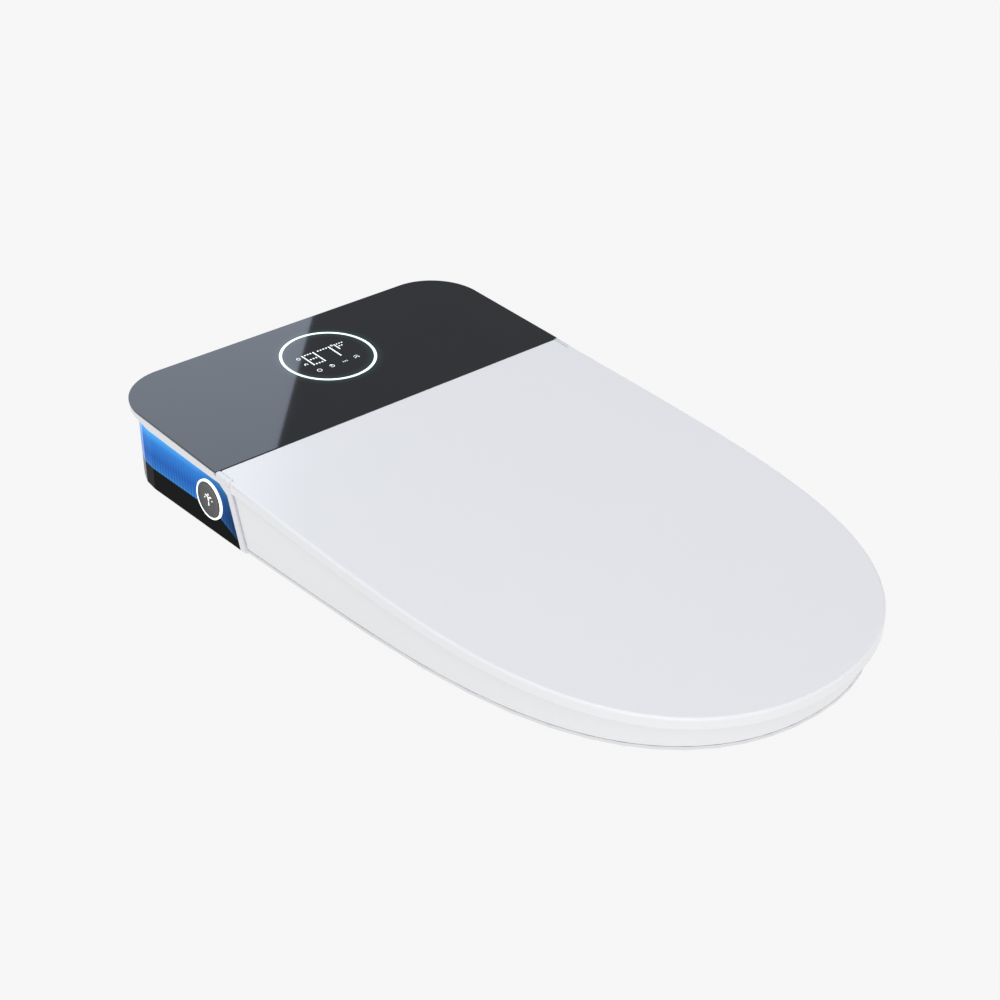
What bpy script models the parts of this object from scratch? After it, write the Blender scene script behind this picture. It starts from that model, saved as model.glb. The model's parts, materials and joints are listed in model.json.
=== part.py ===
"""Electric bidet seat: a low wedge-shaped wash unit with a glass deck, a lit side window
with a turn-and-push knob, a flush lid and a heated seat ring.

Frame: metres, +Z up, the front of the seat towards -Y, the wall towards +Y and the knob on
-X. The origin is on the top of the bowl, midway between the two fixing bolts.
"""
import math

import bmesh
import bpy
from mathutils import Matrix, Vector

# ---------------------------------------------------------------- driving dimensions
WIDTH = 0.350             # across the housing and the widest part of the lid
JOINT_Y = -0.030          # line where the glass deck ends and the lid begins
DECK_LENGTH = 0.157       # glass deck, front edge to rear edge
LID_LENGTH = 0.4595       # lid, from the joint line to its front tip
JOINT_HEIGHT = 0.0597     # top surface at the joint line, above the bowl
TOP_SLOPE = 0.058         # the whole top rises this much per metre towards the wall
LID_CURVE_FRONT = 4.655   # exponents of the lid's outline, a superellipse
LID_CURVE_SIDE = 2.116
FOOT_GAP = 0.003          # bottom edge of housing and seat above the bowl
FIT_GAP = 0.0003          # clearance between two pieces that touch
RUN_GAP = 0.0008          # clearance between pieces that move past each other

GLASS_THICKNESS = 0.0032
GLASS_CORNER = 0.0478     # radius of the deck's rear corners
GLASS_LAND = 0.0005       # square part of the glass's front edge
GLASS_SLANT = 0.00145     # the rest is ground back this far, clear of the lid's swing
BODY_SET_BACK = 0.008     # the housing's rear wall stands this far inside the glass
BODY_CORNER = 0.055
WALL = 0.003              # moulded wall of housing, lid and seat
WINDOW_THICKNESS = 0.0020
PANEL_THICKNESS = 0.0015

CHEEK = 0.004             # side wall of the housing beside the lid's tail
CHEEK_NOSE = 0.0109       # the cheek's round front corner, a radius about the hinge axis
CHEEK_FOOT_REACH = 0.0335  # the cheek's slanted front edge at its foot, ahead of the joint
FRAME_WIDTH = 0.007       # slanted frame in front of the side window
RIM_FRONT = 0.0080        # white rim above the window, glass included
RIM_REAR = 0.0100

HINGE_AHEAD = 0.0077      # hinge axis ahead of the joint line
HINGE_BELOW = 0.0070      # and below the top surface
KNUCKLE_RADIUS = 0.0040
HINGE_PIN_RADIUS = 0.0020
PIN_CLEARANCE = 0.00025
DAMPER_RADIUS = 0.0034
DAMPER_LENGTH = 0.032
LID_EAR = 0.0095          # width of each hinge ear
SEAT_EAR = 0.011
JOINT_GAP = 0.0010        # between the glass and the lid

LID_SKIRT = 0.009         # height of the lid's edge
LID_PLATE = 0.0026
SEAT_GAP = 0.0008         # between the lid's edge and the seat
SEAT_INSET_REAR = 0.0014  # the seat's outline inside the lid's
SEAT_INSET_TIP = 0.0080
SEAT_FLOOR = 0.0025       # thickness of the seat's under plate
SEAT_LAND_REAR = 0.092    # width of the ring behind its hole, from the joint line
SEAT_LAND_TIP = 0.0675    # in front of it
SEAT_LAND_SIDE = 0.068    # and beside it
PAD_X = 0.110             # lid bumpers and the seat's front feet, off the middle
PAD_FROM_TIP = 0.1045     # lid bumpers behind the lid's tip
FOOT_FROM_TIP = 0.0895    # the seat's front feet behind it
REAR_FOOT = (0.138, -0.150)
TUNNEL_HALF = 0.026       # recess under the seat's rear, in front of the nozzles
TUNNEL_TOP = 0.0235
RECESS_FRONT_Y = -0.150   # where that recess meets the hole

PLATE_SIZE = (0.190, 0.096, 0.006)
BOLT_SPACING = 0.140      # between the two fixing bolts, as the bowl is drilled
SLIDER_SIZE = (0.0314, 0.037)
SLOT_SIZE = (0.032, 0.048)   # opening in the plate that each bolt slider moves in
BOLT_HOLE = 0.0042
RELEASE_HALF_X = 0.0090
RELEASE_HALF_Z = 0.0040
RELEASE_Z = 0.0180

KNOB_BEHIND = 0.0112      # knob axis behind the joint line
KNOB_HEIGHT = 0.0312
KNOB_RADIUS = 0.0150
KNOB_RING = 0.0017        # width of the lit ring round the knob

NOZZLE_SLOPE = math.radians(12.0)
NOZZLE_RADIUS = 0.0050
NOZZLE_HALF_SPACING = 0.0075
NOZZLE_LENGTH = 0.160
NOZZLE_STROKE = 0.100
NOZZLE_MOUTH_HEIGHT = 0.0140
RACK_MODULE = 0.001
PINION_TEETH = 12

BLOWER_RADIUS = 0.030
BLOWER_HEIGHT = 0.026
DRYER_X = -0.066
BLOWER_Y = 0.004
DUCT_HIGH = 0.0200
DUCT_HALF = 0.0185
FLAP_PIVOT_BACK = 0.0008  # the flap's hinge line behind the slanted front
INLET_X = 0.098
INLET_Z = 0.024
CORD_X = 0.040
TANK_SIZE = (0.084, 0.066, 0.036)
FILTER_SIZE = (0.030, 0.024, 0.052)
FILTER_CENTRE = (-0.096, 0.026)
RACK_LINE = 0.0022        # rack pitch line outside the nozzle tube
PINION_BACK = 0.052       # pinion axis, behind the mouth
BACKLASH = 0.0004
PCB_THICKNESS = 0.0016

# ---------------------------------------------------------------- derived places
HALF = WIDTH / 2
REAR_Y = JOINT_Y + DECK_LENGTH
BODY_REAR_Y = REAR_Y - BODY_SET_BACK
PAD_Y = JOINT_Y - LID_LENGTH + PAD_FROM_TIP
FRONT_FOOT = (PAD_X, JOINT_Y - LID_LENGTH + FOOT_FROM_TIP)
SEAT_HOLE_Y = JOINT_Y - SEAT_LAND_REAR
SEAT_HOLE_TIP = LID_LENGTH - SEAT_LAND_TIP
SEAT_HOLE_WIDTH = WIDTH - 2 * SEAT_LAND_SIDE
RECESS_TOP = PLATE_SIZE[2] + RUN_GAP      # ceiling of the recess under the base pan
FLOOR_TOP = FOOT_GAP + WALL               # inside floor of the base pan
RAISED_FLOOR = RECESS_TOP + 0.0025
BLOWER_FOOT = RAISED_FLOOR + FIT_GAP + 0.001
DUCT_LOW = RAISED_FLOOR + FIT_GAP
FLAP_Z = DUCT_HIGH + 0.0002
TANK_LOW = (0.044, -0.012, RAISED_FLOOR + 0.0008)
NOZZLE_TURN = Matrix.Rotation(NOZZLE_SLOPE, 3, "X")
RACK_PITCH = math.pi * RACK_MODULE


def top_z(y):
    """Height of the top surface, glass and lid alike, at y."""
    return JOINT_HEIGHT + TOP_SLOPE * (y - JOINT_Y)


HINGE_Y = JOINT_Y - HINGE_AHEAD
HINGE_Z = top_z(HINGE_Y) - HINGE_BELOW
INNER_HALF = HALF - CHEEK                 # inside faces of the cheeks
TAIL_HALF = INNER_HALF - RUN_GAP          # sides of the lid's tail
LID_REAR_Y = JOINT_Y - JOINT_GAP / 2
GLASS_FRONT_Y = JOINT_Y + JOINT_GAP / 2
TAIL_REACH = math.hypot(LID_REAR_Y - HINGE_Y, top_z(LID_REAR_Y) - HINGE_Z)
TROUGH_RADIUS = TAIL_REACH + JOINT_GAP / 2
CHEEK_FOOT_Y = JOINT_Y - CHEEK_FOOT_REACH
CHEEK_SLOPE = (HINGE_Y - CHEEK_NOSE - CHEEK_FOOT_Y) / (HINGE_Z - FOOT_GAP)


def cheek_y(z, ahead=0.0):
    """Slanted front edge of the housing at height z, or a line that far ahead of it."""
    return CHEEK_FOOT_Y + CHEEK_SLOPE * (z - FOOT_GAP) - ahead


def front_edge(ahead=0.0, top=0.09, bottom=-0.02, steps=6):
    """The cheek's front edge in (y, z), bottom to top: a slanted line, then its round nose."""
    radius = CHEEK_NOSE + ahead
    points = [(cheek_y(bottom, ahead), bottom)]
    for step in range(steps + 1):
        angle = math.radians(180 - 50 * step / steps)
        points.append((HINGE_Y + radius * math.cos(angle), HINGE_Z + radius * math.sin(angle)))
    points.append((points[-1][0], top))
    return points


KNOB_Y = JOINT_Y + KNOB_BEHIND
NOZZLE_AXIS = Vector((0.0, -math.cos(NOZZLE_SLOPE), -math.sin(NOZZLE_SLOPE)))
NOZZLE_MOUTH_Y = cheek_y(NOZZLE_MOUTH_HEIGHT) + 0.004

# ---------------------------------------------------------------- scene and collections
for old in list(bpy.data.objects):
    bpy.data.objects.remove(old, do_unlink=True)

parts = bpy.data.collections.new("electric_bidet_seat")
cutters = bpy.data.collections.new("cutters")
for collection in (parts, cutters):
    bpy.context.scene.collection.children.link(collection)


def material(name, rgb, roughness, metallic=0.0, alpha=1.0, glow=None):
    made = bpy.data.materials.new(name)
    made.use_nodes = True
    shader = made.node_tree.nodes["Principled BSDF"]
    shader.inputs["Base Color"].default_value = (*rgb, 1.0)
    shader.inputs["Roughness"].default_value = roughness
    shader.inputs["Metallic"].default_value = metallic
    shader.inputs["Alpha"].default_value = alpha
    if glow:
        shader.inputs["Emission Color"].default_value = (*glow, 1.0)
        shader.inputs["Emission Strength"].default_value = 1.0
    made.diffuse_color = (*rgb, alpha)
    return made


WHITE = material("glossy white plastic", (0.84, 0.84, 0.86), 0.18)
SOFT_WHITE = material("satin white plastic", (0.78, 0.79, 0.80), 0.4)
BLACK_GLASS = material("black glass", (0.03, 0.032, 0.037), 0.05)
CLEAR = material("clear window", (0.55, 0.72, 0.95), 0.05, alpha=0.35)
LIGHT = material("lit ribbed diffuser", (0.05, 0.30, 0.90), 0.3, glow=(0.02, 0.22, 0.85))
WHITE_LIGHT = material("white light guide", (0.95, 0.97, 1.0), 0.3, glow=(0.9, 0.95, 1.0))
BLACK = material("black plastic", (0.03, 0.03, 0.035), 0.45)
GREY = material("grey plastic", (0.35, 0.36, 0.38), 0.5)
RUBBER = material("white rubber", (0.72, 0.72, 0.70), 0.8)
STEEL = material("stainless steel", (0.62, 0.62, 0.63), 0.28, metallic=1.0)
BRASS = material("brass", (0.72, 0.52, 0.22), 0.35, metallic=1.0)
COPPER = material("copper winding", (0.70, 0.32, 0.18), 0.35, metallic=1.0)
BOARD = material("circuit board", (0.02, 0.16, 0.08), 0.5)
FOIL = material("aluminium foil", (0.78, 0.78, 0.80), 0.35, metallic=1.0)
CARBON = material("filter carbon", (0.05, 0.05, 0.05), 0.9)


# ---------------------------------------------------------------- modelling helpers
def empty(name, location, parent=None):
    """A joint or body marker that the moving pieces hang on."""
    marker = bpy.data.objects.new(name, None)
    marker.empty_display_size = 0.02
    parts.objects.link(marker)
    marker.parent = parent
    marker.matrix_world = Matrix.Translation(Vector(location))
    return marker


def adopt(obj, parent):
    """Parents obj without moving it."""
    bpy.context.view_layer.update()
    place = obj.matrix_world.copy()
    obj.parent = parent
    obj.matrix_parent_inverse = parent.matrix_world.inverted()
    obj.matrix_world = place
    return obj


def finish(mesh, name, finish_material, at=(0, 0, 0), turn=None, smooth=30):
    """Turns a mesh into a named object of the part."""
    obj = bpy.data.objects.new(name, mesh)
    parts.objects.link(obj)
    obj.matrix_world = Matrix.Translation(Vector(at)) @ (turn or Matrix()).to_4x4()
    if finish_material:
        mesh.materials.append(finish_material)
    mesh.shade_smooth()
    mesh.set_sharp_from_angle(angle=math.radians(smooth))
    return obj


def to_mesh(bm, name):
    mesh = bpy.data.meshes.new(name)
    bmesh.ops.recalc_face_normals(bm, faces=bm.faces)
    bm.to_mesh(mesh)
    bm.free()
    return mesh


def box(name, low, high, finish_material=None, turn=None, bevel=0.0):
    """A block between two corners, with its origin at its centre."""
    low, high = Vector(low), Vector(high)
    bm = bmesh.new()
    bmesh.ops.create_cube(bm, size=1.0, matrix=Matrix.Diagonal((*(high - low), 1.0)))
    obj = finish(to_mesh(bm, name), name, finish_material, (low + high) / 2, turn)
    if bevel:
        add_bevel(obj, bevel)
    return obj


def rod(name, start, end, radius, finish_material=None, sides=24, end_radius=None):
    """A round bar, or a cone, from one point to another."""
    start, end = Vector(start), Vector(end)
    along = end - start
    bm = bmesh.new()
    bmesh.ops.create_cone(bm, cap_ends=True, segments=sides, radius1=radius, depth=along.length,
                          radius2=radius if end_radius is None else end_radius)
    turn = along.to_track_quat("Z", "Y").to_matrix()
    return finish(to_mesh(bm, name), name, finish_material, (start + end) / 2, turn)


def outline(name, points, finish_material=None, bottom=0.0, top=0.0):
    """A flat outline in plan, filled and raised; bottom and top are heights or functions of y."""
    curve = bpy.data.curves.new(name, "CURVE")
    curve.dimensions = "2D"
    curve.fill_mode = "BOTH"
    curve.extrude = 0.5
    spline = curve.splines.new("POLY")
    spline.points.add(len(points) - 1)
    for point, (x, y) in zip(spline.points, points):
        point.co = (x, y, 0.0, 1.0)
    spline.use_cyclic_u = True
    holder = bpy.data.objects.new(name + "_outline", curve)
    cutters.objects.link(holder)
    bpy.context.view_layer.update()
    seen = holder.evaluated_get(bpy.context.evaluated_depsgraph_get())
    mesh = bpy.data.meshes.new_from_object(seen)
    bpy.data.objects.remove(holder, do_unlink=True)
    bm = bmesh.new()
    bm.from_mesh(mesh)
    bpy.data.meshes.remove(mesh)
    bmesh.ops.remove_doubles(bm, verts=bm.verts, dist=1e-6)
    for vert in bm.verts:
        level = top if vert.co.z > 0 else bottom
        vert.co.z = level(vert.co.y) if callable(level) else level
    bmesh.ops.dissolve_limit(bm, angle_limit=math.radians(0.5), verts=bm.verts, edges=bm.edges)
    return finish(to_mesh(bm, name), name, finish_material)


def profile(name, points, x_low, x_high, finish_material=None):
    """A side profile of (y, z) points, carried across from x_low to x_high."""
    middle = (x_low + x_high) / 2
    obj = outline(name, points, finish_material, -(x_high - x_low) / 2, (x_high - x_low) / 2)
    obj.matrix_world = Matrix(((0, 0, 1, middle), (1, 0, 0, 0), (0, 1, 0, 0), (0, 0, 0, 1)))
    return obj


def turned(name, points, at, axis, finish_material=None, steps=32):
    """A turned piece from its outer profile of (radius, height), top to bottom."""
    bm = bmesh.new()
    verts = [bm.verts.new((radius, 0.0, height)) for radius, height in points]
    for first, second in zip(verts, verts[1:]):
        bm.edges.new((first, second))
    mesh = bpy.data.meshes.new(name)
    bm.to_mesh(mesh)
    bm.free()
    turn = Vector(axis).to_track_quat("Z", "Y").to_matrix()
    obj = finish(mesh, name, finish_material, at, turn)
    screw = obj.modifiers.new("turn", "SCREW")
    screw.steps = screw.render_steps = steps
    screw.use_merge_vertices = True
    screw.merge_threshold = 1e-5
    screw.use_smooth_shade = True
    return obj


def add_bevel(obj, width, segments=2, angle=40):
    bevel = obj.modifiers.new("rounded edges", "BEVEL")
    bevel.width = width
    bevel.segments = segments
    bevel.limit_method = "ANGLE"
    bevel.angle_limit = math.radians(angle)
    return bevel


def use(obj, tool, operation):
    """Cuts with, joins or keeps the overlap with a tool, which moves to the cutters."""
    step = obj.modifiers.new(tool.name, "BOOLEAN")
    step.operation = operation
    step.object = tool
    step.solver = "EXACT"
    if tool.name in parts.objects:
        parts.objects.unlink(tool)
        cutters.objects.link(tool)
    tool.hide_render = True
    tool.display_type = "WIRE"
    return obj


def cut(obj, *tools):
    for tool in tools:
        use(obj, tool, "DIFFERENCE")
    return obj


def join(obj, *tools):
    for tool in tools:
        use(obj, tool, "UNION")
    return obj


def keep(obj, tool):
    return use(obj, tool, "INTERSECT")


def arc(centre, radius, start, end, steps):
    """Points on an arc, angles in degrees."""
    found = []
    for step in range(steps + 1):
        angle = math.radians(start + (end - start) * step / steps)
        found.append((centre[0] + radius * math.cos(angle), centre[1] + radius * math.sin(angle)))
    return found


def mirrored(points):
    """Completes a right-hand outline, given from rear to front, with its left half."""
    left = [(-x, y) for x, y in reversed(points) if x > 1e-6]
    return points + left


def lid_outline(inset_rear=0.0, inset_tip=0.0, rear_y=JOINT_Y, steps=14):
    """The lid's plan: straight-sided at the rear, a superellipse towards the tip."""
    side = [(HALF - inset_rear, rear_y)]
    for step in range(steps + 1):
        angle = math.pi / 2 * step / steps
        along = math.sin(angle) ** (2 / LID_CURVE_FRONT) if step else 0.0
        across = math.cos(angle) ** (2 / LID_CURVE_SIDE) if step < steps else 0.0
        inset = inset_rear + (inset_tip - inset_rear) * along
        length = LID_LENGTH - inset_tip
        side.append(((HALF - inset) * across, JOINT_Y - length * along))
    if rear_y <= JOINT_Y:
        side.pop(0)
        side[0] = (side[0][0], rear_y)
    return mirrored(side)


def body_outline(inset=0.0, front_y=None, rear_y=BODY_REAR_Y, corner=BODY_CORNER, steps=6):
    """The housing's plan, with round rear corners."""
    front_y = CHEEK_FOOT_Y if front_y is None else front_y
    radius = corner - inset
    centre = (HALF - corner, rear_y - corner)
    right = arc(centre, radius, 90, 0, steps)
    right.append((HALF - inset, front_y))
    return right + [(-x, y) for x, y in reversed(right)]


def seat_hole(grow=0.0, steps=10):
    """Egg-shaped hole in the seat, grown outwards by grow."""
    middle = JOINT_Y - (SEAT_LAND_REAR + SEAT_HOLE_TIP) / 2
    half_length = (SEAT_HOLE_TIP - SEAT_LAND_REAR) / 2 + grow
    points = []
    for step in range(4 * steps):
        angle = 2 * math.pi * step / (4 * steps)
        across = math.copysign(abs(math.cos(angle)) ** 0.85, math.cos(angle))
        along = math.copysign(abs(math.sin(angle)) ** 0.9, math.sin(angle))
        points.append((across * (SEAT_HOLE_WIDTH / 2 + grow), middle + along * half_length))
    return points


def housing_side(clearance=0.0):
    """The side window's outline in (y, z), grown or shrunk by clearance."""
    foot = FOOT_GAP - 0.002 if clearance > 0 else FOOT_GAP
    front_foot = cheek_y(foot) + FRAME_WIDTH - clearance
    rim = RIM_FRONT - clearance
    shoulder_z = top_z(JOINT_Y) - RIM_FRONT - 0.006
    shoulder_y = cheek_y(shoulder_z) + FRAME_WIDTH - clearance
    rear_end = BODY_REAR_Y - BODY_CORNER * 0.45 + clearance
    rear_rim = RIM_REAR - clearance
    return [(front_foot, foot), (rear_end - 0.006, foot), (rear_end, foot + 0.006),
            (rear_end, top_z(rear_end) - rear_rim), (JOINT_Y - 0.004, top_z(JOINT_Y) - rim),
            (shoulder_y, shoulder_z)]


# ---------------------------------------------------------------- moving bodies
mount_body = empty("mount", (0, 0, 0))
chassis = empty("chassis", (0, 0, 0), mount_body)
seat_axis = empty("seat_axis", (0, HINGE_Y, HINGE_Z), chassis)
lid_axis = empty("lid_axis", (0, HINGE_Y, HINGE_Z), seat_axis)
knob_axis = empty("knob_axis", (-HALF, KNOB_Y, KNOB_HEIGHT), chassis)

# ---------------------------------------------------------------- mounting plate


def make_mounting_plate():
    half_x, half_y, height = PLATE_SIZE[0] / 2, PLATE_SIZE[1] / 2, PLATE_SIZE[2]
    plate = box("mounting_plate", (-half_x, -half_y, 0), (half_x, half_y, height), BLACK)
    add_bevel(plate, 0.0008, 1)
    for side, tag in ((-1, "right"), (1, "left")):
        x = side * BOLT_SPACING / 2
        slot_x, slot_y = SLOT_SIZE[0] / 2, SLOT_SIZE[1] / 2
        cut(plate, box("slot_" + tag, (x - slot_x, -slot_y, -0.001), (x + slot_x, slot_y, 0.01)))
        slider_x, slider_y = SLIDER_SIZE[0] / 2, SLIDER_SIZE[1] / 2
        slider = box("bolt_slider_" + tag, (x - slider_x, -slider_y, 0.0012),
                     (x + slider_x, slider_y, height - 0.0006), GREY)
        cut(slider, rod("slider_bore_" + tag, (x, 0, -0.001), (x, 0, 0.01), BOLT_HOLE))
        adopt(slider, mount_body)
    adopt(plate, mount_body)


# ---------------------------------------------------------------- housing
def make_upper_housing():
    """White cover: rim under the glass, slanted side frames, rear wall and hinge trough."""
    def roof(y):
        return top_z(y) - GLASS_THICKNESS - FIT_GAP

    cover = outline("upper_housing", body_outline(), WHITE, FOOT_GAP, roof)
    inside = outline("housing_inside", body_outline(WALL, front_y=CHEEK_FOOT_Y - 0.01), None,
                     FOOT_GAP - 0.01, lambda y: roof(y) - WALL)
    front = profile("housing_front_cut", front_edge() + [
        (CHEEK_FOOT_Y - 0.05, 0.09), (CHEEK_FOOT_Y - 0.05, -0.02)], -HALF - 0.01, HALF + 0.01)
    open_front = box("housing_open_front", (-INNER_HALF, CHEEK_FOOT_Y - 0.01, -0.01),
                     (INNER_HALF, HINGE_Y, 0.09))
    trough = rod("trough_cut", (-INNER_HALF, HINGE_Y, HINGE_Z), (INNER_HALF, HINGE_Y, HINGE_Z),
                 TROUGH_RADIUS + WALL + FIT_GAP, sides=64)
    cut(cover, inside, front, open_front, trough)
    for side, tag in ((-1, "right"), (1, "left")):
        low, high = sorted((side * (HALF + 0.01), side * (HALF - BODY_CORNER * 0.7)))
        cut(cover, profile("window_opening_" + tag, housing_side(FIT_GAP), low, high))
        ends = (side * (HALF - 0.0010), side * (INNER_HALF - 0.002))
        bore = rod("cheek_bore_" + tag, (ends[0], HINGE_Y, HINGE_Z), (ends[1], HINGE_Y, HINGE_Z),
                   HINGE_PIN_RADIUS + PIN_CLEARANCE)
        cut(cover, bore)
    filter_x, filter_half = FILTER_CENTRE[0], FILTER_SIZE[0] / 2 + RUN_GAP
    port = box("filter_port", (filter_x - filter_half, BODY_REAR_Y - 0.02, FILTER_CENTRE[1]
                               - FILTER_SIZE[1] / 2 - RUN_GAP),
               (filter_x + filter_half, BODY_REAR_Y + 0.01,
                FILTER_CENTRE[1] + FILTER_SIZE[1] / 2 + RUN_GAP))
    inlet = rod("inlet_port", (INLET_X, BODY_REAR_Y - 0.02, INLET_Z),
                (INLET_X, BODY_REAR_Y + 0.01, INLET_Z), 0.0085 + RUN_GAP)
    cord = rod("cord_port", (CORD_X, BODY_REAR_Y - 0.02, INLET_Z),
               (CORD_X, BODY_REAR_Y + 0.01, INLET_Z), 0.0060 + FIT_GAP)
    button = box("release_port", (-RELEASE_HALF_X - RUN_GAP, BODY_REAR_Y - 0.02,
                                  RELEASE_Z - RELEASE_HALF_Z - RUN_GAP),
                 (RELEASE_HALF_X + RUN_GAP, BODY_REAR_Y + 0.01,
                  RELEASE_Z + RELEASE_HALF_Z + RUN_GAP))
    tray = outline("base_step", body_outline(-0.001), None, FOOT_GAP - 0.01, FOOT_GAP - 0.0001)
    cut(cover, port, inlet, cord, button, tray)
    adopt(cover, chassis)


def make_front_fascia():
    """Hinge trough and front wall in one moulding, with the nozzle and dryer mouths."""
    centre = (HINGE_Y, HINGE_Z)
    lip = top_z(JOINT_Y) - GLASS_THICKNESS - 0.0006 - HINGE_Z
    top_angle = math.degrees(math.asin(lip / (TROUGH_RADIUS + WALL)))
    outer = arc(centre, TROUGH_RADIUS, top_angle, -90, 18)
    ledge_z = HINGE_Z - TROUGH_RADIUS
    outer += [(cheek_y(ledge_z), ledge_z), (cheek_y(FOOT_GAP), FOOT_GAP)]
    inner = [(cheek_y(FOOT_GAP) + WALL, FOOT_GAP), (cheek_y(ledge_z) + WALL, ledge_z - WALL)]
    inner += arc(centre, TROUGH_RADIUS + WALL, -90, top_angle, 18)
    fascia = profile("front_fascia", outer + inner, -INNER_HALF + FIT_GAP,
                     INNER_HALF - FIT_GAP, WHITE)
    mouth = box("nozzle_mouth", (-0.0178, CHEEK_FOOT_Y - 0.02, 0.0062),
                (0.0178, CHEEK_FOOT_Y + 0.03, 0.0215))
    dryer = box("dryer_mouth", (DRYER_X - 0.019, CHEEK_FOOT_Y - 0.02, DUCT_LOW),
                (DRYER_X + 0.019, CHEEK_FOOT_Y + 0.03, DUCT_HIGH + 0.0008))
    cut(fascia, mouth, dryer)
    adopt(fascia, chassis)


def make_base_pan():
    """Under tray, with a raised recess that slides over the mounting plate."""
    pan = outline("base_pan", body_outline(WALL + FIT_GAP, front_y=CHEEK_FOOT_Y + 0.006),
                  SOFT_WHITE, FOOT_GAP, FLOOR_TOP)
    half_x = PLATE_SIZE[0] / 2 + RUN_GAP
    front = -PLATE_SIZE[1] / 2 - 0.002
    rear = BODY_REAR_Y - WALL - FIT_GAP
    hump = box("base_hump", (-half_x - 0.0025, front - 0.0025, FOOT_GAP + 0.0005),
               (half_x + 0.0025, rear, RAISED_FLOOR))
    recess = box("base_recess", (-half_x, front, -0.01), (half_x, rear + 0.02, RECESS_TOP))
    join(pan, hump)
    cut(pan, recess)
    adopt(pan, chassis)


def make_glass_top():
    """Black tempered glass over the whole deck."""
    plan = body_outline(0.0, front_y=GLASS_FRONT_Y, rear_y=REAR_Y, corner=GLASS_CORNER, steps=9)
    glass = outline("glass_top", plan, BLACK_GLASS, lambda y: top_z(y) - GLASS_THICKNESS, top_z)
    edge_top, edge_foot = top_z(GLASS_FRONT_Y) - GLASS_LAND, top_z(GLASS_FRONT_Y) - GLASS_THICKNESS
    run = GLASS_SLANT / (edge_top - edge_foot)
    cut(glass, profile("glass_slant", [
        (GLASS_FRONT_Y - 0.01, edge_foot - 0.01), (GLASS_FRONT_Y - 0.01, edge_top - 0.0001),
        (GLASS_FRONT_Y - 0.0001, edge_top), (GLASS_FRONT_Y + GLASS_SLANT + 0.01 * run, edge_foot - 0.01)],
        -HALF - 0.01, HALF + 0.01))
    adopt(glass, chassis)


def make_side(side, tag):
    """Clear side window and the ribbed light panel behind it."""
    low, high = sorted((side * (HALF + 0.001), side * (HALF - BODY_CORNER * 0.7 - 0.001)))
    window = outline("side_window_" + tag, body_outline(), CLEAR, FOOT_GAP, 0.06)
    hollow = outline("window_inside_" + tag, body_outline(WINDOW_THICKNESS), None, 0.0, 0.09)
    cut(window, hollow)
    keep(window, profile("window_side_" + tag, housing_side(), low, high))
    adopt(window, chassis)
    face = WINDOW_THICKNESS + 0.0004
    panel = outline("light_panel_" + tag, body_outline(face), LIGHT, FLOOR_TOP + FIT_GAP, 0.07)
    cut(panel, outline("panel_inside_" + tag, body_outline(face + PANEL_THICKNESS), None, 0.0, 0.09))
    keep(panel, profile("panel_side_" + tag, housing_side(-FIT_GAP), low, high))
    if side < 0:
        hole = rod("panel_knob_hole", (-HALF - 0.01, KNOB_Y, KNOB_HEIGHT),
                   (-HALF + 0.02, KNOB_Y, KNOB_HEIGHT), KNOB_RADIUS * 0.55)
        cut(panel, hole)
        opening = rod("window_knob_hole", (-HALF - 0.01, KNOB_Y, KNOB_HEIGHT),
                      (-HALF + 0.02, KNOB_Y, KNOB_HEIGHT), KNOB_RADIUS + KNOB_RING + FIT_GAP, sides=48)
        cut(window, opening)
    adopt(panel, chassis)


# ---------------------------------------------------------------- lid
def make_hinge_pins():
    for side, tag in ((-1, "right"), (1, "left")):
        outer = INNER_HALF + CHEEK - 0.0012 - FIT_GAP
        inner = TAIL_HALF - LID_EAR - SEAT_EAR - 0.004
        pin = rod("hinge_pin_" + tag, (side * inner, HINGE_Y, HINGE_Z),
                  (side * outer, HINGE_Y, HINGE_Z), HINGE_PIN_RADIUS, STEEL)
        adopt(pin, chassis)


def make_lid():
    """One moulding: plate, edge all round the front, tail between the cheeks and two ears."""
    lid = outline("lid", lid_outline(rear_y=LID_REAR_Y), WHITE,
                  lambda y: top_z(y) - LID_SKIRT, top_z)
    pocket = outline("lid_pocket", lid_outline(WALL, WALL, rear_y=JOINT_Y + 0.02), None, 0.0,
                     lambda y: top_z(y) - LID_PLATE)
    cut(lid, pocket)
    for side, tag in ((-1, "right"), (1, "left")):
        low, high = sorted((side * TAIL_HALF, side * (HALF + 0.01)))
        shoulder = profile("lid_shoulder_" + tag, front_edge(RUN_GAP) + [
            (0.0, 0.09), (0.0, -0.02)], low, high)
        wall_cut = outline("lid_tail_wall_" + tag, [
            (low - 0.02, 0.0), (low - 0.02, HINGE_Y - CHEEK_NOSE - 0.002),
            (high + 0.02, HINGE_Y - CHEEK_NOSE - 0.002), (high + 0.02, 0.0)], None, 0.0,
            lambda y: top_z(y) - LID_PLATE)
        cut(lid, shoulder, wall_cut)
    for side, tag in ((-1, "right"), (1, "left")):
        ends = sorted((side * (TAIL_HALF - 0.0004), side * (TAIL_HALF - LID_EAR)))
        boss = rod("lid_ear_" + tag, (ends[0], HINGE_Y, HINGE_Z), (ends[1], HINGE_Y, HINGE_Z),
                   KNUCKLE_RADIUS, sides=32)
        web = box("lid_web_" + tag, (ends[0], HINGE_Y - KNUCKLE_RADIUS * 0.7, HINGE_Z),
                  (ends[1], HINGE_Y + KNUCKLE_RADIUS * 0.7, top_z(HINGE_Y) - LID_PLATE / 2))
        bore = rod("lid_bore_" + tag, (ends[0] - 0.01, HINGE_Y, HINGE_Z),
                   (ends[1] + 0.01, HINGE_Y, HINGE_Z), HINGE_PIN_RADIUS + PIN_CLEARANCE)
        join(lid, boss, web)
        cut(lid, bore)
    adopt(lid, lid_axis)


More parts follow.
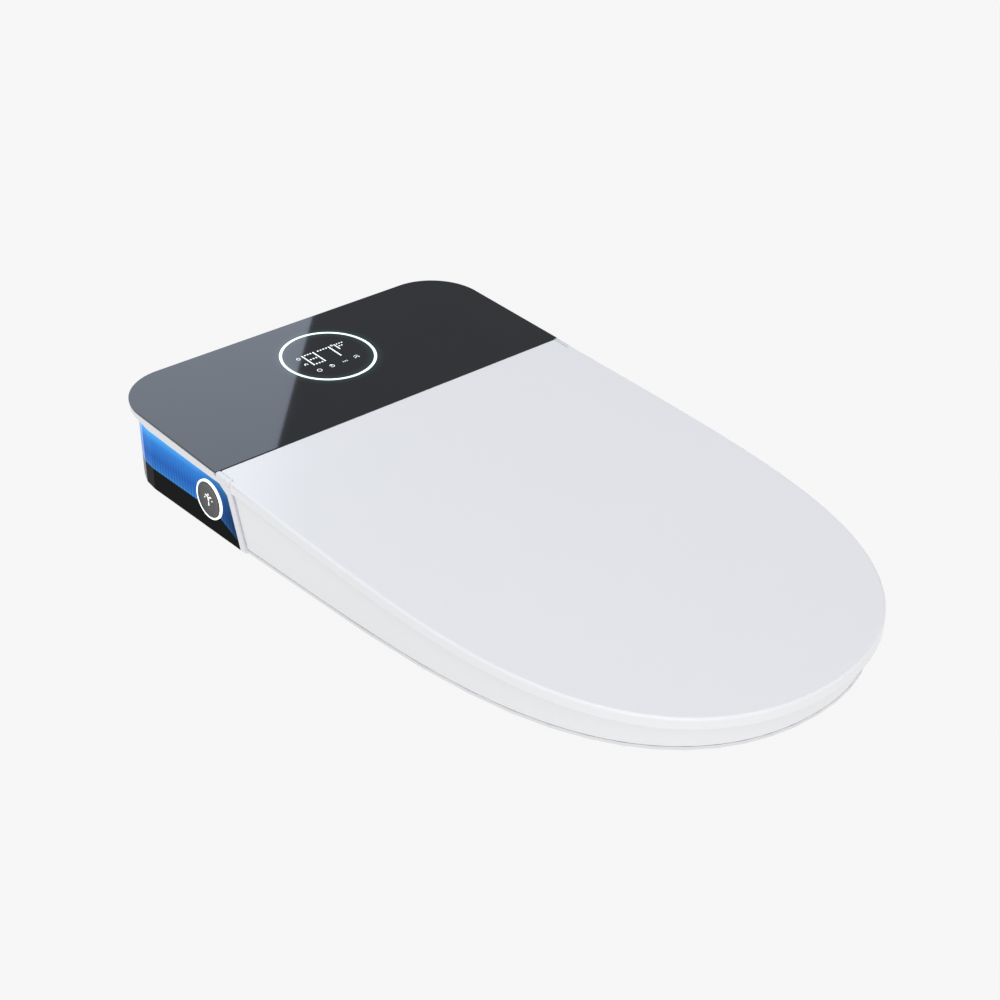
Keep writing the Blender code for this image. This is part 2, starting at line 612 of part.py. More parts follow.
def seat_top(y):
    return top_z(y) - LID_SKIRT - SEAT_GAP


def make_lid_bumpers():
    """Two soft pads in the lid's pocket, which rest on the seat."""
    for side, tag in ((-1, "right"), (1, "left")):
        pad = rod("lid_bumper_" + tag, (side * PAD_X, PAD_Y, seat_top(PAD_Y) + 0.0012),
                  (side * PAD_X, PAD_Y, top_z(PAD_Y) - LID_PLATE - 0.0008),
                  0.006, RUBBER, sides=20)
        adopt(pad, lid_axis)


# ---------------------------------------------------------------- seat
def make_seat():
    """Heated ring in two mouldings: a deep upper shell and a flat under plate."""
    inset = (SEAT_INSET_REAR, SEAT_INSET_TIP)
    shell = outline("seat_top_shell", lid_outline(*inset, rear_y=JOINT_Y), WHITE,
                    FOOT_GAP + SEAT_FLOOR + FIT_GAP, seat_top)
    inside = outline("seat_inside", lid_outline(inset[0] + WALL, inset[1] + WALL), None, 0.0,
                     lambda y: seat_top(y) - WALL)
    collar = outline("seat_collar", seat_hole(WALL), None, 0.0, 0.09)
    cut(inside, collar)
    rear_inside = profile("seat_rear_wall", [
        (cheek_y(-0.02, RUN_GAP + WALL), -0.02), (cheek_y(0.09, RUN_GAP + WALL), 0.09),
        (0.02, 0.09), (0.02, -0.02)], -HALF - 0.01, HALF + 0.01)
    cut(inside, rear_inside)
    hole = outline("seat_hole", seat_hole(), None, -0.01, 0.1)
    rear = profile("seat_rear", [
        (cheek_y(-0.02, RUN_GAP), -0.02), (cheek_y(0.09, RUN_GAP), 0.09), (0.02, 0.09),
        (0.02, -0.02)], -HALF - 0.01, HALF + 0.01)
    recess_side = DRYER_X - DUCT_HALF - 3 * RUN_GAP
    tunnel = box("nozzle_tunnel", (recess_side, RECESS_FRONT_Y, -0.01), (TUNNEL_HALF, 0.0, TUNNEL_TOP))
    tunnel_wall = box("tunnel_wall", (recess_side - WALL, RECESS_FRONT_Y - WALL, -0.01),
                      (TUNNEL_HALF + WALL, 0.0, TUNNEL_TOP + WALL))
    cut(inside, tunnel_wall)
    cut(shell, inside, hole, rear, tunnel)
    for side, tag in ((-1, "right"), (1, "left")):
        outer = TAIL_HALF - LID_EAR - RUN_GAP
        ends = sorted((side * outer, side * (outer - SEAT_EAR)))
        boss = rod("seat_ear_" + tag, (ends[0], HINGE_Y, HINGE_Z), (ends[1], HINGE_Y, HINGE_Z),
                   KNUCKLE_RADIUS, sides=32)
        web = box("seat_web_" + tag, (ends[0], HINGE_Y - CHEEK_NOSE - 0.003, HINGE_Z - 0.0065),
                  (ends[1], HINGE_Y, HINGE_Z - 0.0005))
        bore = rod("seat_bore_" + tag, (ends[0] - 0.005, HINGE_Y, HINGE_Z),
                   (ends[1] + 0.005, HINGE_Y, HINGE_Z), HINGE_PIN_RADIUS + PIN_CLEARANCE)
        join(shell, boss, web)
        cut(shell, bore)
    adopt(shell, seat_axis)
    plate = outline("seat_under_plate", lid_outline(*inset, rear_y=JOINT_Y), SOFT_WHITE,
                    FOOT_GAP, FOOT_GAP + SEAT_FLOOR)
    plate_rear = profile("plate_rear", [
        (cheek_y(-0.02, RUN_GAP), -0.02), (cheek_y(0.09, RUN_GAP), 0.09), (0.02, 0.09),
        (0.02, -0.02)], -HALF - 0.01, HALF + 0.01)
    plate_hole = outline("plate_hole", seat_hole(), None, -0.01, 0.1)
    plate_tunnel = box("plate_tunnel", (recess_side - WALL, RECESS_FRONT_Y - WALL, -0.01),
                       (TUNNEL_HALF + WALL, 0.0, 0.02))
    cut(plate, plate_rear, plate_hole, plate_tunnel)
    adopt(plate, seat_axis)


def make_seat_heater():
    """Foil heater stuck under the seat's upper shell, a ring open at the rear."""
    def level(y):
        return seat_top(y) - WALL - FIT_GAP

    foil = outline("seat_heater_foil", lid_outline(0.022, 0.024), FOIL,
                   lambda y: level(y) - 0.0008, level)
    middle = outline("foil_hole", seat_hole(0.012), None, 0.0, 0.1)
    rear = box("foil_rear", (-HALF, JOINT_Y - 0.070, 0.0), (HALF, 0.05, 0.1))
    cut(foil, middle, rear)
    adopt(foil, seat_axis)


def make_seat_bumpers():
    """Four rubber feet under the seat, which rest on the bowl."""
    for place, (x, y) in (("rear", REAR_FOOT), ("front", FRONT_FOOT)):
        for side, tag in ((-1, "right"), (1, "left")):
            foot = box("seat_bumper_%s_%s" % (place, tag), (side * x - 0.008, y - 0.018, 0.0),
                       (side * x + 0.008, y + 0.018, FOOT_GAP - FIT_GAP), RUBBER)
            adopt(foot, seat_axis)


def make_dampers():
    """Slow-close dampers on the hinge axis: the seat's on the right, the lid's on the left."""
    inner = TAIL_HALF - LID_EAR - SEAT_EAR - RUN_GAP - 0.0045
    for side, tag, body in ((-1, "seat", seat_axis), (1, "lid", chassis)):
        damper = rod("%s_damper" % tag, (side * (inner - DAMPER_LENGTH), HINGE_Y, HINGE_Z),
                     (side * inner, HINGE_Y, HINGE_Z), DAMPER_RADIUS, GREY, sides=24)
        adopt(damper, body)


# ---------------------------------------------------------------- knob
def make_knob():
    """Turn-and-push knob: fixed lit ring, dial, shaft and the encoder behind it."""
    at = (-HALF, KNOB_Y, KNOB_HEIGHT)
    out = (-1, 0, 0)
    ring_outer = KNOB_RADIUS + KNOB_RING
    ring = turned("knob_light_ring", [
        (KNOB_RADIUS + 0.0003, 0.0012), (ring_outer - 0.0003, 0.0012), (ring_outer, 0.0009),
        (ring_outer, -0.0024), (KNOB_RADIUS + 0.0003, -0.0024), (KNOB_RADIUS + 0.0003, 0.0012)],
        at, out, WHITE_LIGHT, 40)
    adopt(ring, chassis)
    dial = turned("knob_dial", [
        (0.0, 0.0038), (KNOB_RADIUS - 0.0012, 0.0038), (KNOB_RADIUS - 0.0004, 0.0034),
        (KNOB_RADIUS, 0.0026), (KNOB_RADIUS, 0.0002), (0.0, 0.0002)], at, out, BLACK, 40)
    adopt(dial, knob_axis)
    shaft = rod("knob_shaft", (-HALF + 0.0001, KNOB_Y, KNOB_HEIGHT),
                (-HALF + 0.0185, KNOB_Y, KNOB_HEIGHT), 0.0030, STEEL)
    adopt(shaft, knob_axis)
    low_x = -HALF + 0.0125
    body = box("knob_encoder", (low_x, KNOB_Y - 0.007, KNOB_HEIGHT - 0.007),
               (low_x + 0.0095, KNOB_Y + 0.007, KNOB_HEIGHT + 0.007), GREY)
    well = rod("encoder_well", (low_x - 0.002, KNOB_Y, KNOB_HEIGHT),
               (low_x + 0.0082, KNOB_Y, KNOB_HEIGHT), 0.0033)
    cut(body, well)
    adopt(body, chassis)


# ---------------------------------------------------------------- nozzles
def along_nozzle(distance, across=0.0, above=0.0):
    """A point at a distance behind the mouth, on the sloping line of the nozzles."""
    lift = Vector((0.0, -math.sin(NOZZLE_SLOPE), math.cos(NOZZLE_SLOPE)))
    mouth = Vector((across, NOZZLE_MOUTH_Y, NOZZLE_MOUTH_HEIGHT))
    return mouth - NOZZLE_AXIS * distance + lift * above




def rack_points(start, teeth, side, across):
    """Toothed strip beside a nozzle, in (across, along) before it is sloped."""
    root, tip = -1.1 * RACK_MODULE, 0.8 * RACK_MODULE
    slant = math.tan(math.radians(20))
    half = RACK_PITCH / 4 - BACKLASH / 2
    points = [(across, start)]
    for tooth in range(teeth):
        middle = start + (tooth + 0.5) * RACK_PITCH
        for depth, sign in ((root, -1), (tip, -1), (tip, 1), (root, 1)):
            points.append((across + side * (RACK_LINE + depth),
                           middle + sign * (half - depth * slant)))
    points.append((across, start + teeth * RACK_PITCH))
    return points


def pinion_points(steps=PINION_TEETH):
    """A small pinion's outline round its own axis."""
    pitch_radius = RACK_MODULE * PINION_TEETH / 2
    half = math.pi / (2 * PINION_TEETH) - BACKLASH / 2 / pitch_radius
    points = []
    for tooth in range(steps):
        middle = 2 * math.pi * tooth / PINION_TEETH
        for radius, width in ((-1.1, 1.35), (0.0, 1.0), (0.75, 0.52)):
            points.append((pitch_radius + radius * RACK_MODULE, middle - half * width))
        for radius, width in ((0.75, 0.52), (0.0, 1.0), (-1.1, 1.35)):
            points.append((pitch_radius + radius * RACK_MODULE, middle + half * width))
    return [(radius * math.cos(angle), radius * math.sin(angle)) for radius, angle in points]


def make_nozzle(side, tag):
    """One wand: tube with its rack, tip shield, pinion and stepper motor."""
    across = side * NOZZLE_HALF_SPACING
    body = empty("%s_nozzle_axis" % tag, along_nozzle(0.0, across), chassis)
    tube = rod("%s_nozzle" % tag, along_nozzle(0.0, across), along_nozzle(NOZZLE_LENGTH, across),
               NOZZLE_RADIUS, SOFT_WHITE, sides=28)
    teeth = round(NOZZLE_STROKE / RACK_PITCH) + 5
    start = PINION_BACK - 2.5 * RACK_PITCH
    edge = side * (NOZZLE_RADIUS - 0.0006)
    rack = outline("%s_rack" % tag, rack_points(start, teeth, side, edge),
                   SOFT_WHITE, -0.0022, 0.0022)
    place = Matrix.Translation(along_nozzle(0.0, across)) @ NOZZLE_TURN.to_4x4()
    rack.matrix_world = place
    join(tube, rack)
    adopt(tube, body)
    shield_at = along_nozzle(-0.0003, across)
    shield = box("%s_nozzle_shield" % tag, shield_at - Vector((0.0068, 0.0018, 0.0064)),
                 shield_at + Vector((0.0068, 0.0, 0.0064)), WHITE, turn=NOZZLE_TURN)
    add_bevel(shield, 0.0006, 1)
    adopt(shield, body)
    pitch_radius = RACK_MODULE * PINION_TEETH / 2
    centre = across + edge + side * (RACK_LINE + pitch_radius + 0.0001)
    pinion = outline("%s_pinion" % tag, pinion_points(), SOFT_WHITE, -0.0030, 0.0030)
    spin = Matrix.Rotation(math.pi / PINION_TEETH, 4, "Z")
    pinion.matrix_world = (Matrix.Translation(along_nozzle(PINION_BACK, centre))
                           @ NOZZLE_TURN.to_4x4() @ spin)
    cut(pinion, rod("%s_pinion_bore" % tag, along_nozzle(PINION_BACK, centre, -0.01),
                    along_nozzle(PINION_BACK, centre, 0.01), 0.0013, sides=16))
    adopt(pinion, chassis)
    motor = rod("%s_stepper" % tag, along_nozzle(PINION_BACK, centre, 0.0045),
                along_nozzle(PINION_BACK, centre, 0.0165), 0.0085, STEEL, sides=28)
    join(motor, rod("%s_stepper_shaft" % tag, along_nozzle(PINION_BACK, centre, -0.0028),
                    along_nozzle(PINION_BACK, centre, 0.006), 0.0010, sides=12))
    adopt(motor, chassis)


def make_cradle():
    """Sloping guide block under both nozzles."""
    start, end = 0.036, NOZZLE_LENGTH + 0.001
    low, high = along_nozzle(end, 0, -0.0075), along_nozzle(start, 0, -0.0015)
    middle = (low + high) / 2
    half = Vector((NOZZLE_HALF_SPACING + 0.0035, (end - start) / 2, 0.0030))
    cradle = box("nozzle_cradle", middle - half, middle + half, GREY, turn=NOZZLE_TURN)
    for side in (-1, 1):
        across = side * NOZZLE_HALF_SPACING
        cut(cradle, rod("cradle_groove_%d" % side, along_nozzle(0.0, across),
                        along_nozzle(NOZZLE_LENGTH + 0.02, across), NOZZLE_RADIUS + FIT_GAP,
                        sides=28))
    adopt(cradle, chassis)


# ---------------------------------------------------------------- dryer
def make_dryer():
    """Warm-air dryer: scroll housing, impeller, motor, heater grid, duct and flap."""
    axis = (DRYER_X, BLOWER_Y)
    foot, head = BLOWER_FOOT, BLOWER_FOOT + BLOWER_HEIGHT
    scroll = rod("dryer_blower_housing", (*axis, foot), (*axis, head), BLOWER_RADIUS, BLACK, sides=40)
    chamber = rod("blower_chamber", (*axis, foot + 0.002), (*axis, head - 0.002),
                  BLOWER_RADIUS - 0.002, sides=40)
    intake = rod("blower_intake", (*axis, head - 0.01), (*axis, head + 0.01), 0.016, sides=32)
    throat = box("blower_throat", (DRYER_X - 0.014, BLOWER_Y - BLOWER_RADIUS - 0.006, foot + 0.0020),
                 (DRYER_X + 0.014, BLOWER_Y - 0.015, DUCT_HIGH - 0.0020))
    spigot = box("blower_spigot", (DRYER_X - 0.016, BLOWER_Y - BLOWER_RADIUS - 0.004, foot),
                 (DRYER_X + 0.016, BLOWER_Y - 0.018, DUCT_HIGH))
    join(scroll, spigot)
    cut(scroll, chamber, intake, throat)
    adopt(scroll, chassis)
    blades = 12
    hub = rod("dryer_impeller", (*axis, foot + 0.0035), (*axis, foot + 0.0055), 0.0225, GREY, sides=36)
    for blade in range(blades):
        angle = 2 * math.pi * blade / blades
        at = Vector((axis[0] + 0.019 * math.cos(angle), axis[1] + 0.019 * math.sin(angle),
                     foot + 0.0125))
        half = Vector((0.0030, 0.0006, 0.0080))
        join(hub, box("blade_%02d" % blade, at - half, at + half,
                      turn=Matrix.Rotation(angle + 0.5, 3, "Z")))
    cut(hub, rod("impeller_bore", (*axis, foot), (*axis, foot + 0.02), 0.0016, sides=20))
    adopt(hub, chassis)
    motor = rod("dryer_motor", (*axis, foot + 0.0075), (*axis, head + 0.010), 0.0125, STEEL, sides=32)
    join(motor, rod("dryer_motor_shaft", (*axis, foot + 0.0028), (*axis, foot + 0.010), 0.0013,
                    sides=16))
    adopt(motor, chassis)
    duct_rear = BLOWER_Y - BLOWER_RADIUS - 0.004 - FIT_GAP
    duct_front = cheek_y(DUCT_HIGH) + WALL + 0.0006
    duct = box("dryer_duct", (DRYER_X - DUCT_HALF, duct_front, DUCT_LOW),
               (DRYER_X + DUCT_HALF, duct_rear, DUCT_HIGH), BLACK)
    cut(duct, box("duct_bore", (DRYER_X - 0.0170, duct_front - 0.01, DUCT_LOW + 0.0014),
                  (DRYER_X + 0.0170, duct_rear + 0.01, DUCT_HIGH - 0.0014)))
    adopt(duct, chassis)
    grid_low, grid_high = DUCT_LOW + 0.0014 + FIT_GAP, DUCT_HIGH - 0.0014 - FIT_GAP
    grid = box("dryer_heater", (DRYER_X - 0.0165, duct_rear - 0.012, grid_low),
               (DRYER_X + 0.0165, duct_rear - 0.006, grid_high), COPPER)
    for row in range(5):
        x = DRYER_X - 0.0128 + 0.0064 * row
        cut(grid, box("grid_slot_%d" % row, (x - 0.0022, duct_rear - 0.02, grid_low + 0.0012),
                      (x + 0.0022, duct_rear, grid_high - 0.0012)))
    adopt(grid, chassis)
    flap_at = (DRYER_X, cheek_y(FLAP_Z) + FLAP_PIVOT_BACK, FLAP_Z)
    marker = empty("flap_axis", flap_at, chassis)
    foot_z = DUCT_LOW + 0.0004
    flap = profile("dryer_flap", [
        (cheek_y(foot_z) + 0.0004, foot_z), (cheek_y(FLAP_Z) + 0.0004, FLAP_Z),
        (cheek_y(FLAP_Z) + 0.0024, FLAP_Z), (cheek_y(foot_z) + 0.0020, foot_z)],
        DRYER_X - 0.0182, DRYER_X + 0.0182, WHITE)
    adopt(flap, marker)


# ---------------------------------------------------------------- water system
def make_water_system():
    """Inlet fitting and strainer, valve, flow meter, heater tank and changeover valve."""
    fitting = rod("water_inlet", (INLET_X, BODY_REAR_Y - 0.014, INLET_Z),
                  (INLET_X, BODY_REAR_Y + 0.0075, INLET_Z), 0.0085, BRASS, sides=32)
    flange = rod("inlet_flange", (INLET_X, BODY_REAR_Y - 0.014, INLET_Z),
                 (INLET_X, BODY_REAR_Y - 0.0105, INLET_Z), 0.0115, sides=32)
    bore = rod("inlet_bore", (INLET_X, BODY_REAR_Y - 0.02, INLET_Z),
               (INLET_X, BODY_REAR_Y + 0.02, INLET_Z), 0.0052, sides=24)
    join(fitting, flange)
    cut(fitting, bore)
    adopt(fitting, chassis)
    strainer = rod("inlet_strainer", (INLET_X, BODY_REAR_Y - 0.012, INLET_Z),
                   (INLET_X, BODY_REAR_Y + 0.002, INLET_Z), 0.0048, STEEL, sides=20)
    cut(strainer, rod("strainer_bore", (INLET_X, BODY_REAR_Y - 0.010, INLET_Z),
                      (INLET_X, BODY_REAR_Y + 0.01, INLET_Z), 0.0038, sides=20))
    adopt(strainer, chassis)
    valve_front = BODY_REAR_Y - 0.044
    valve = box("inlet_valve", (INLET_X - 0.013, valve_front, 0.012),
                (INLET_X + 0.013, BODY_REAR_Y - 0.014 - FIT_GAP, 0.034), GREY, bevel=0.0015)
    adopt(valve, chassis)
    coil = rod("valve_solenoid", (INLET_X, valve_front + 0.014, 0.034 + FIT_GAP),
               (INLET_X, valve_front + 0.014, 0.054), 0.0095, COPPER, sides=28)
    adopt(coil, chassis)
    meter = rod("flow_meter", (INLET_X - 0.0135, valve_front + 0.013, 0.023),
                (INLET_X - 0.034, valve_front + 0.013, 0.023), 0.0085, BLACK, sides=28)
    adopt(meter, chassis)
    low = Vector(TANK_LOW)
    tank = box("water_heater_tank", low, low + Vector(TANK_SIZE), SOFT_WHITE, bevel=0.003)
    adopt(tank, chassis)
    changeover = rod("changeover_valve", (0.040, 0.085, RAISED_FLOOR + 0.0008),
                     (0.040, 0.085, 0.036), 0.0125, GREY, sides=32)
    join(changeover, rod("changeover_motor", (0.040, 0.085, 0.035), (0.040, 0.085, 0.049),
                         0.0105, sides=28))
    adopt(changeover, chassis)


# ---------------------------------------------------------------- deodoriser
def make_deodoriser():
    """Fan with its frame, and the carbon cartridge that slides out of the rear wall."""
    x, z = FILTER_CENTRE
    half_x, half_z = FILTER_SIZE[0] / 2, FILTER_SIZE[1] / 2
    rear = BODY_REAR_Y
    front = rear - FILTER_SIZE[2]
    cartridge = box("deodoriser_filter", (x - half_x, front, z - half_z),
                    (x + half_x, rear, z + half_z), CARBON, bevel=0.001)
    finger = box("filter_grip", (x - 0.008, rear - 0.003, z - 0.0035),
                 (x + 0.008, rear + 0.01, z + 0.0035))
    cut(cartridge, finger)
    marker = empty("filter_slide", (x, rear, z), chassis)
    adopt(cartridge, marker)
    frame_rear = front - 0.0015
    frame = box("deodoriser_fan_frame", (x - half_x, frame_rear - 0.010, z - half_z),
                (x + half_x, frame_rear, z + half_z), BLACK)
    cut(frame, rod("fan_bore", (x, frame_rear - 0.02, z), (x, frame_rear + 0.02, z), 0.0108, sides=36))
    spider = box("fan_spider", (x - half_x + 0.001, frame_rear - 0.0012, z - 0.0012),
                 (x + half_x - 0.001, frame_rear - 0.0002, z + 0.0012))
    join(frame, spider)
    adopt(frame, chassis)
    rotor = rod("deodoriser_fan", (x, frame_rear - 0.0088, z), (x, frame_rear - 0.0020, z),
                0.0042, GREY, sides=24)
    for blade in range(7):
        angle = 2 * math.pi * blade / 7
        turn = Matrix.Rotation(-angle, 3, "Y") @ Matrix.Rotation(math.radians(35), 3, "X")
        reach = Matrix.Rotation(-angle, 3, "Y") @ Vector((0.0068, 0.0, 0.0))
        at = Vector((x, frame_rear - 0.0054, z)) + reach
        half = Vector((0.0032, 0.0028, 0.0004))
        join(rotor, box("fan_blade_%d" % blade, at - half, at + half, turn=turn))
    adopt(rotor, chassis)


# ---------------------------------------------------------------- electronics
def make_electronics():
    """Display board under the glass, main board, power supply, cord gland and button."""
    drop = GLASS_THICKNESS + FIT_GAP + WALL + 0.002
    display = outline("display_board", [(0.044, 0.106), (-0.044, 0.106), (-0.044, 0.022),
                                        (0.044, 0.022)], BOARD,
                      lambda y: top_z(y) - drop - PCB_THICKNESS, lambda y: top_z(y) - drop)
    adopt(display, chassis)
    main = box("main_board", (-0.150, -0.006, 0.0485), (-0.050, 0.078, 0.0485 + PCB_THICKNESS),
               BOARD)
    adopt(main, chassis)
    supply = box("power_supply", (-0.030, 0.080, RAISED_FLOOR + 0.0008), (-0.072, 0.110, 0.040),
                 BLACK, bevel=0.001)
    adopt(supply, chassis)
    gland = rod("power_inlet_gland", (CORD_X, BODY_REAR_Y - 0.008, INLET_Z),
                (CORD_X, BODY_REAR_Y + 0.0065, INLET_Z), 0.0060, BLACK, sides=28)
    collar = rod("gland_collar", (CORD_X, BODY_REAR_Y - 0.008, INLET_Z),
                 (CORD_X, BODY_REAR_Y - WALL - 0.0006, INLET_Z), 0.0082, sides=28)
    join(gland, collar)
    cut(gland, rod("gland_bore", (CORD_X, BODY_REAR_Y - 0.02, INLET_Z),
                   (CORD_X, BODY_REAR_Y + 0.02, INLET_Z), 0.0036, sides=20))
    adopt(gland, chassis)


# ---------------------------------------------------------------- quick release
def make_release():
    """Spring button in the rear wall that lets the seat slide off its plate."""
    rear = BODY_REAR_Y - WALL - FIT_GAP
    guide = box("release_guide", (-0.0125, rear - 0.018, RELEASE_Z - 0.0065),
                (0.0125, rear, RELEASE_Z + 0.0065), GREY)
    cut(guide, box("release_well", (-RELEASE_HALF_X - RUN_GAP, rear - 0.0155,
                                    RELEASE_Z - RELEASE_HALF_Z - RUN_GAP),
                   (RELEASE_HALF_X + RUN_GAP, rear + 0.01,
                    RELEASE_Z + RELEASE_HALF_Z + RUN_GAP)))
    adopt(guide, chassis)
    marker = empty("release_slide", (0, BODY_REAR_Y, RELEASE_Z), chassis)
    button = box("release_button", (-RELEASE_HALF_X, rear - 0.0110, RELEASE_Z - RELEASE_HALF_Z),
                 (RELEASE_HALF_X, BODY_REAR_Y + 0.0035, RELEASE_Z + RELEASE_HALF_Z), GREY)
    add_bevel(button, 0.0008, 2)
    adopt(button, marker)


# ---------------------------------------------------------------- build
make_mounting_plate()
make_upper_housing()
make_front_fascia()
make_base_pan()
make_glass_top()
make_side(-1, "right")
make_side(1, "left")
make_hinge_pins()
make_lid()
make_lid_bumpers()
make_seat()
make_seat_heater()
make_seat_bumpers()
make_dampers()
make_knob()
make_nozzle(-1, "rear")
make_nozzle(1, "front")
make_cradle()
make_dryer()
make_water_system()
make_deodoriser()
make_electronics()
make_release()
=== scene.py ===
"""Electric bidet seat: the surfaces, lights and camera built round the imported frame."""
import json
import math

import bmesh
import bpy
from mathutils import Matrix, Vector


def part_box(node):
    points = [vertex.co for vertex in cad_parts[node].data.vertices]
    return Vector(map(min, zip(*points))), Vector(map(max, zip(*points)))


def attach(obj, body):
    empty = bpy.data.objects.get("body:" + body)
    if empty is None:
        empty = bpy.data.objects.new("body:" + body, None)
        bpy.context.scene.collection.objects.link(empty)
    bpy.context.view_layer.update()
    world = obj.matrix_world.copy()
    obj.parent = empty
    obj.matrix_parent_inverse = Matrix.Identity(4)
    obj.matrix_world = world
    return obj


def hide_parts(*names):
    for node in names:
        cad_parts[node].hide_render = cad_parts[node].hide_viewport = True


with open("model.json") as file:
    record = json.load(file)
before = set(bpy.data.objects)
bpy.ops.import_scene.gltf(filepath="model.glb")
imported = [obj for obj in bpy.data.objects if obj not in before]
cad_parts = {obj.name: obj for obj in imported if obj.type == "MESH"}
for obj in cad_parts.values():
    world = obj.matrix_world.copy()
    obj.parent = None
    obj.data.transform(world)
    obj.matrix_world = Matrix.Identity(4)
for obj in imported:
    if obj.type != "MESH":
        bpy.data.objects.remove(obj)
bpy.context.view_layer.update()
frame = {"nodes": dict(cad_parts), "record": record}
MM = 0.001

# ---- Camera and photographic sweep -------------------------------------------------
# A long lens looks down on the front right corner of the seat. The floor is a pale
# seamless paper sweep, and the room is a bright tent with one dim side, which keeps
# the black glass dark.
AIM = Vector((-0.0040, -0.1613, 0.0279))
AZIMUTH, ELEVATION = math.radians(-40.883), math.radians(31.09)
CAMERA_DISTANCE = 1.5018
LENS_MM, SENSOR_MM = 70.18, 36.0
camera_back = Vector((math.sin(AZIMUTH) * math.cos(ELEVATION),
                      -math.cos(AZIMUTH) * math.cos(ELEVATION), math.sin(ELEVATION)))
camera_data = bpy.data.cameras.new("camera")
camera_data.lens = LENS_MM
camera_data.sensor_width = SENSOR_MM
camera = bpy.data.objects.new("camera", camera_data)
bpy.context.collection.objects.link(camera)
camera.location = AIM + camera_back * CAMERA_DISTANCE
camera.rotation_euler = (-camera_back).to_track_quat("-Z", "Y").to_euler()
bpy.context.scene.camera = camera
bpy.context.scene.view_settings.view_transform = "Standard"


def linear(hex_code):
    """An sRGB hex colour as the linear RGBA that shaders take."""
    levels = [int(hex_code[i:i + 2], 16) / 255 for i in (1, 3, 5)]
    light = [c / 12.92 if c <= 0.04045 else ((c + 0.055) / 1.055) ** 2.4 for c in levels]
    return (*light, 1.0)


def add(tree, kind, settings=None, **links):
    """Adds one node; settings name its properties or sockets, links name its inputs."""
    made = tree.nodes.new(kind)
    for key, value in (settings or {}).items():
        if isinstance(key, str) and hasattr(made, key):
            setattr(made, key, value)
        else:
            made.inputs[key].default_value = value
    for key, source in links.items():
        socket = made.inputs[int(key[1:])] if key[0] == "n" and key[1:].isdigit() \
            else made.inputs[key.replace("_", " ")]
        tree.links.new(source, socket)
    return made


def new_material(name):
    """An empty node material; returns it, its tree and its Principled shader."""
    made = bpy.data.materials.new(name)
    made.use_nodes = True
    return made, made.node_tree, made.node_tree.nodes["Principled BSDF"]


def mesh_object(name, bm, material=None):
    """Turns a finished bmesh into a linked object."""
    mesh = bpy.data.meshes.new(name)
    bm.to_mesh(mesh)
    bm.free()
    if material:
        mesh.materials.append(material)
    made = bpy.data.objects.new(name, mesh)
    bpy.context.collection.objects.link(made)
    return made


# Pale paper that gives off its own light: it stays even, and the seat leaves no hard
# shadow. The fibres keep it from looking like a blank.
PAPER_FIBRE, PAPER_RELIEF = 0.8 * MM, 0.05 * MM
FLOOR_HALF, FLOOR_DROP = 60.0, 0.2 * MM
paper, tree, shader = new_material("seamless_paper")
grain = add(tree, "ShaderNodeTexNoise", {"Scale": 1.0 / PAPER_FIBRE},
            Vector=add(tree, "ShaderNodeTexCoord").outputs["Object"]).outputs["Fac"]
fibre = add(tree, "ShaderNodeBump", {"Strength": 0.05, "Distance": PAPER_RELIEF}, Height=grain)
tree.links.new(fibre.outputs["Normal"], shader.inputs["Normal"])
shader.inputs["Base Color"].default_value = linear("#1C1C1C")
shader.inputs["Roughness"].default_value = 0.95
shader.inputs["Specular IOR Level"].default_value = 0.0
shader.inputs["Emission Color"].default_value = linear("#F7F7F7")
shader.inputs["Emission Strength"].default_value = 0.985
bm = bmesh.new()
bmesh.ops.create_grid(bm, x_segments=1, y_segments=1, size=FLOOR_HALF)
floor = mesh_object("floor", bm, paper)
floor.location = (0.0, 0.0, -FLOOR_DROP)

# The tent is bright everywhere but round one direction, the one the glass mirrors.
DIM_SIDE = (0.50, 0.58, 0.64)
TENT_BRIGHT, TENT_DIM = 0.80, 0.16
world = bpy.data.worlds.new("light_tent")
bpy.context.scene.world = world
world.use_nodes = True
tree = world.node_tree
tree.nodes.clear()
direction = add(tree, "ShaderNodeTexCoord").outputs["Generated"]
toward = add(tree, "ShaderNodeVectorMath", {"operation": "DOT_PRODUCT", 1: DIM_SIDE},
             n0=direction).outputs["Value"]
shade = add(tree, "ShaderNodeMapRange",
            {"interpolation_type": "SMOOTHSTEP", "From Min": 0.62, "From Max": 0.90,
             "To Min": TENT_BRIGHT, "To Max": TENT_DIM}, Value=toward).outputs["Result"]
background = add(tree, "ShaderNodeBackground", {"Color": linear("#FBFCFF")}, Strength=shade)
add(tree, "ShaderNodeOutputWorld", None, Surface=background.outputs[0])


def area_light(name, centre, facing, across, size, power, colour="#FFFFFF"):
    """A rectangular softbox: across is the direction of its first side."""
    data = bpy.data.lights.new(name, "AREA")
    data.shape = "RECTANGLE"
    data.size, data.size_y = size
    data.energy = power
    data.color = linear(colour)[:3]
    lamp = bpy.data.objects.new(name, data)
    bpy.context.collection.objects.link(lamp)
    z_axis = -Vector(facing).normalized()
    x_axis = (Vector(across) - z_axis * z_axis.dot(Vector(across))).normalized()
    y_axis = z_axis.cross(x_axis)
    turn = Matrix((x_axis, y_axis, z_axis)).transposed()
    lamp.matrix_world = Matrix.Translation(Vector(centre)) @ turn.to_4x4()
    lamp.visible_camera = False


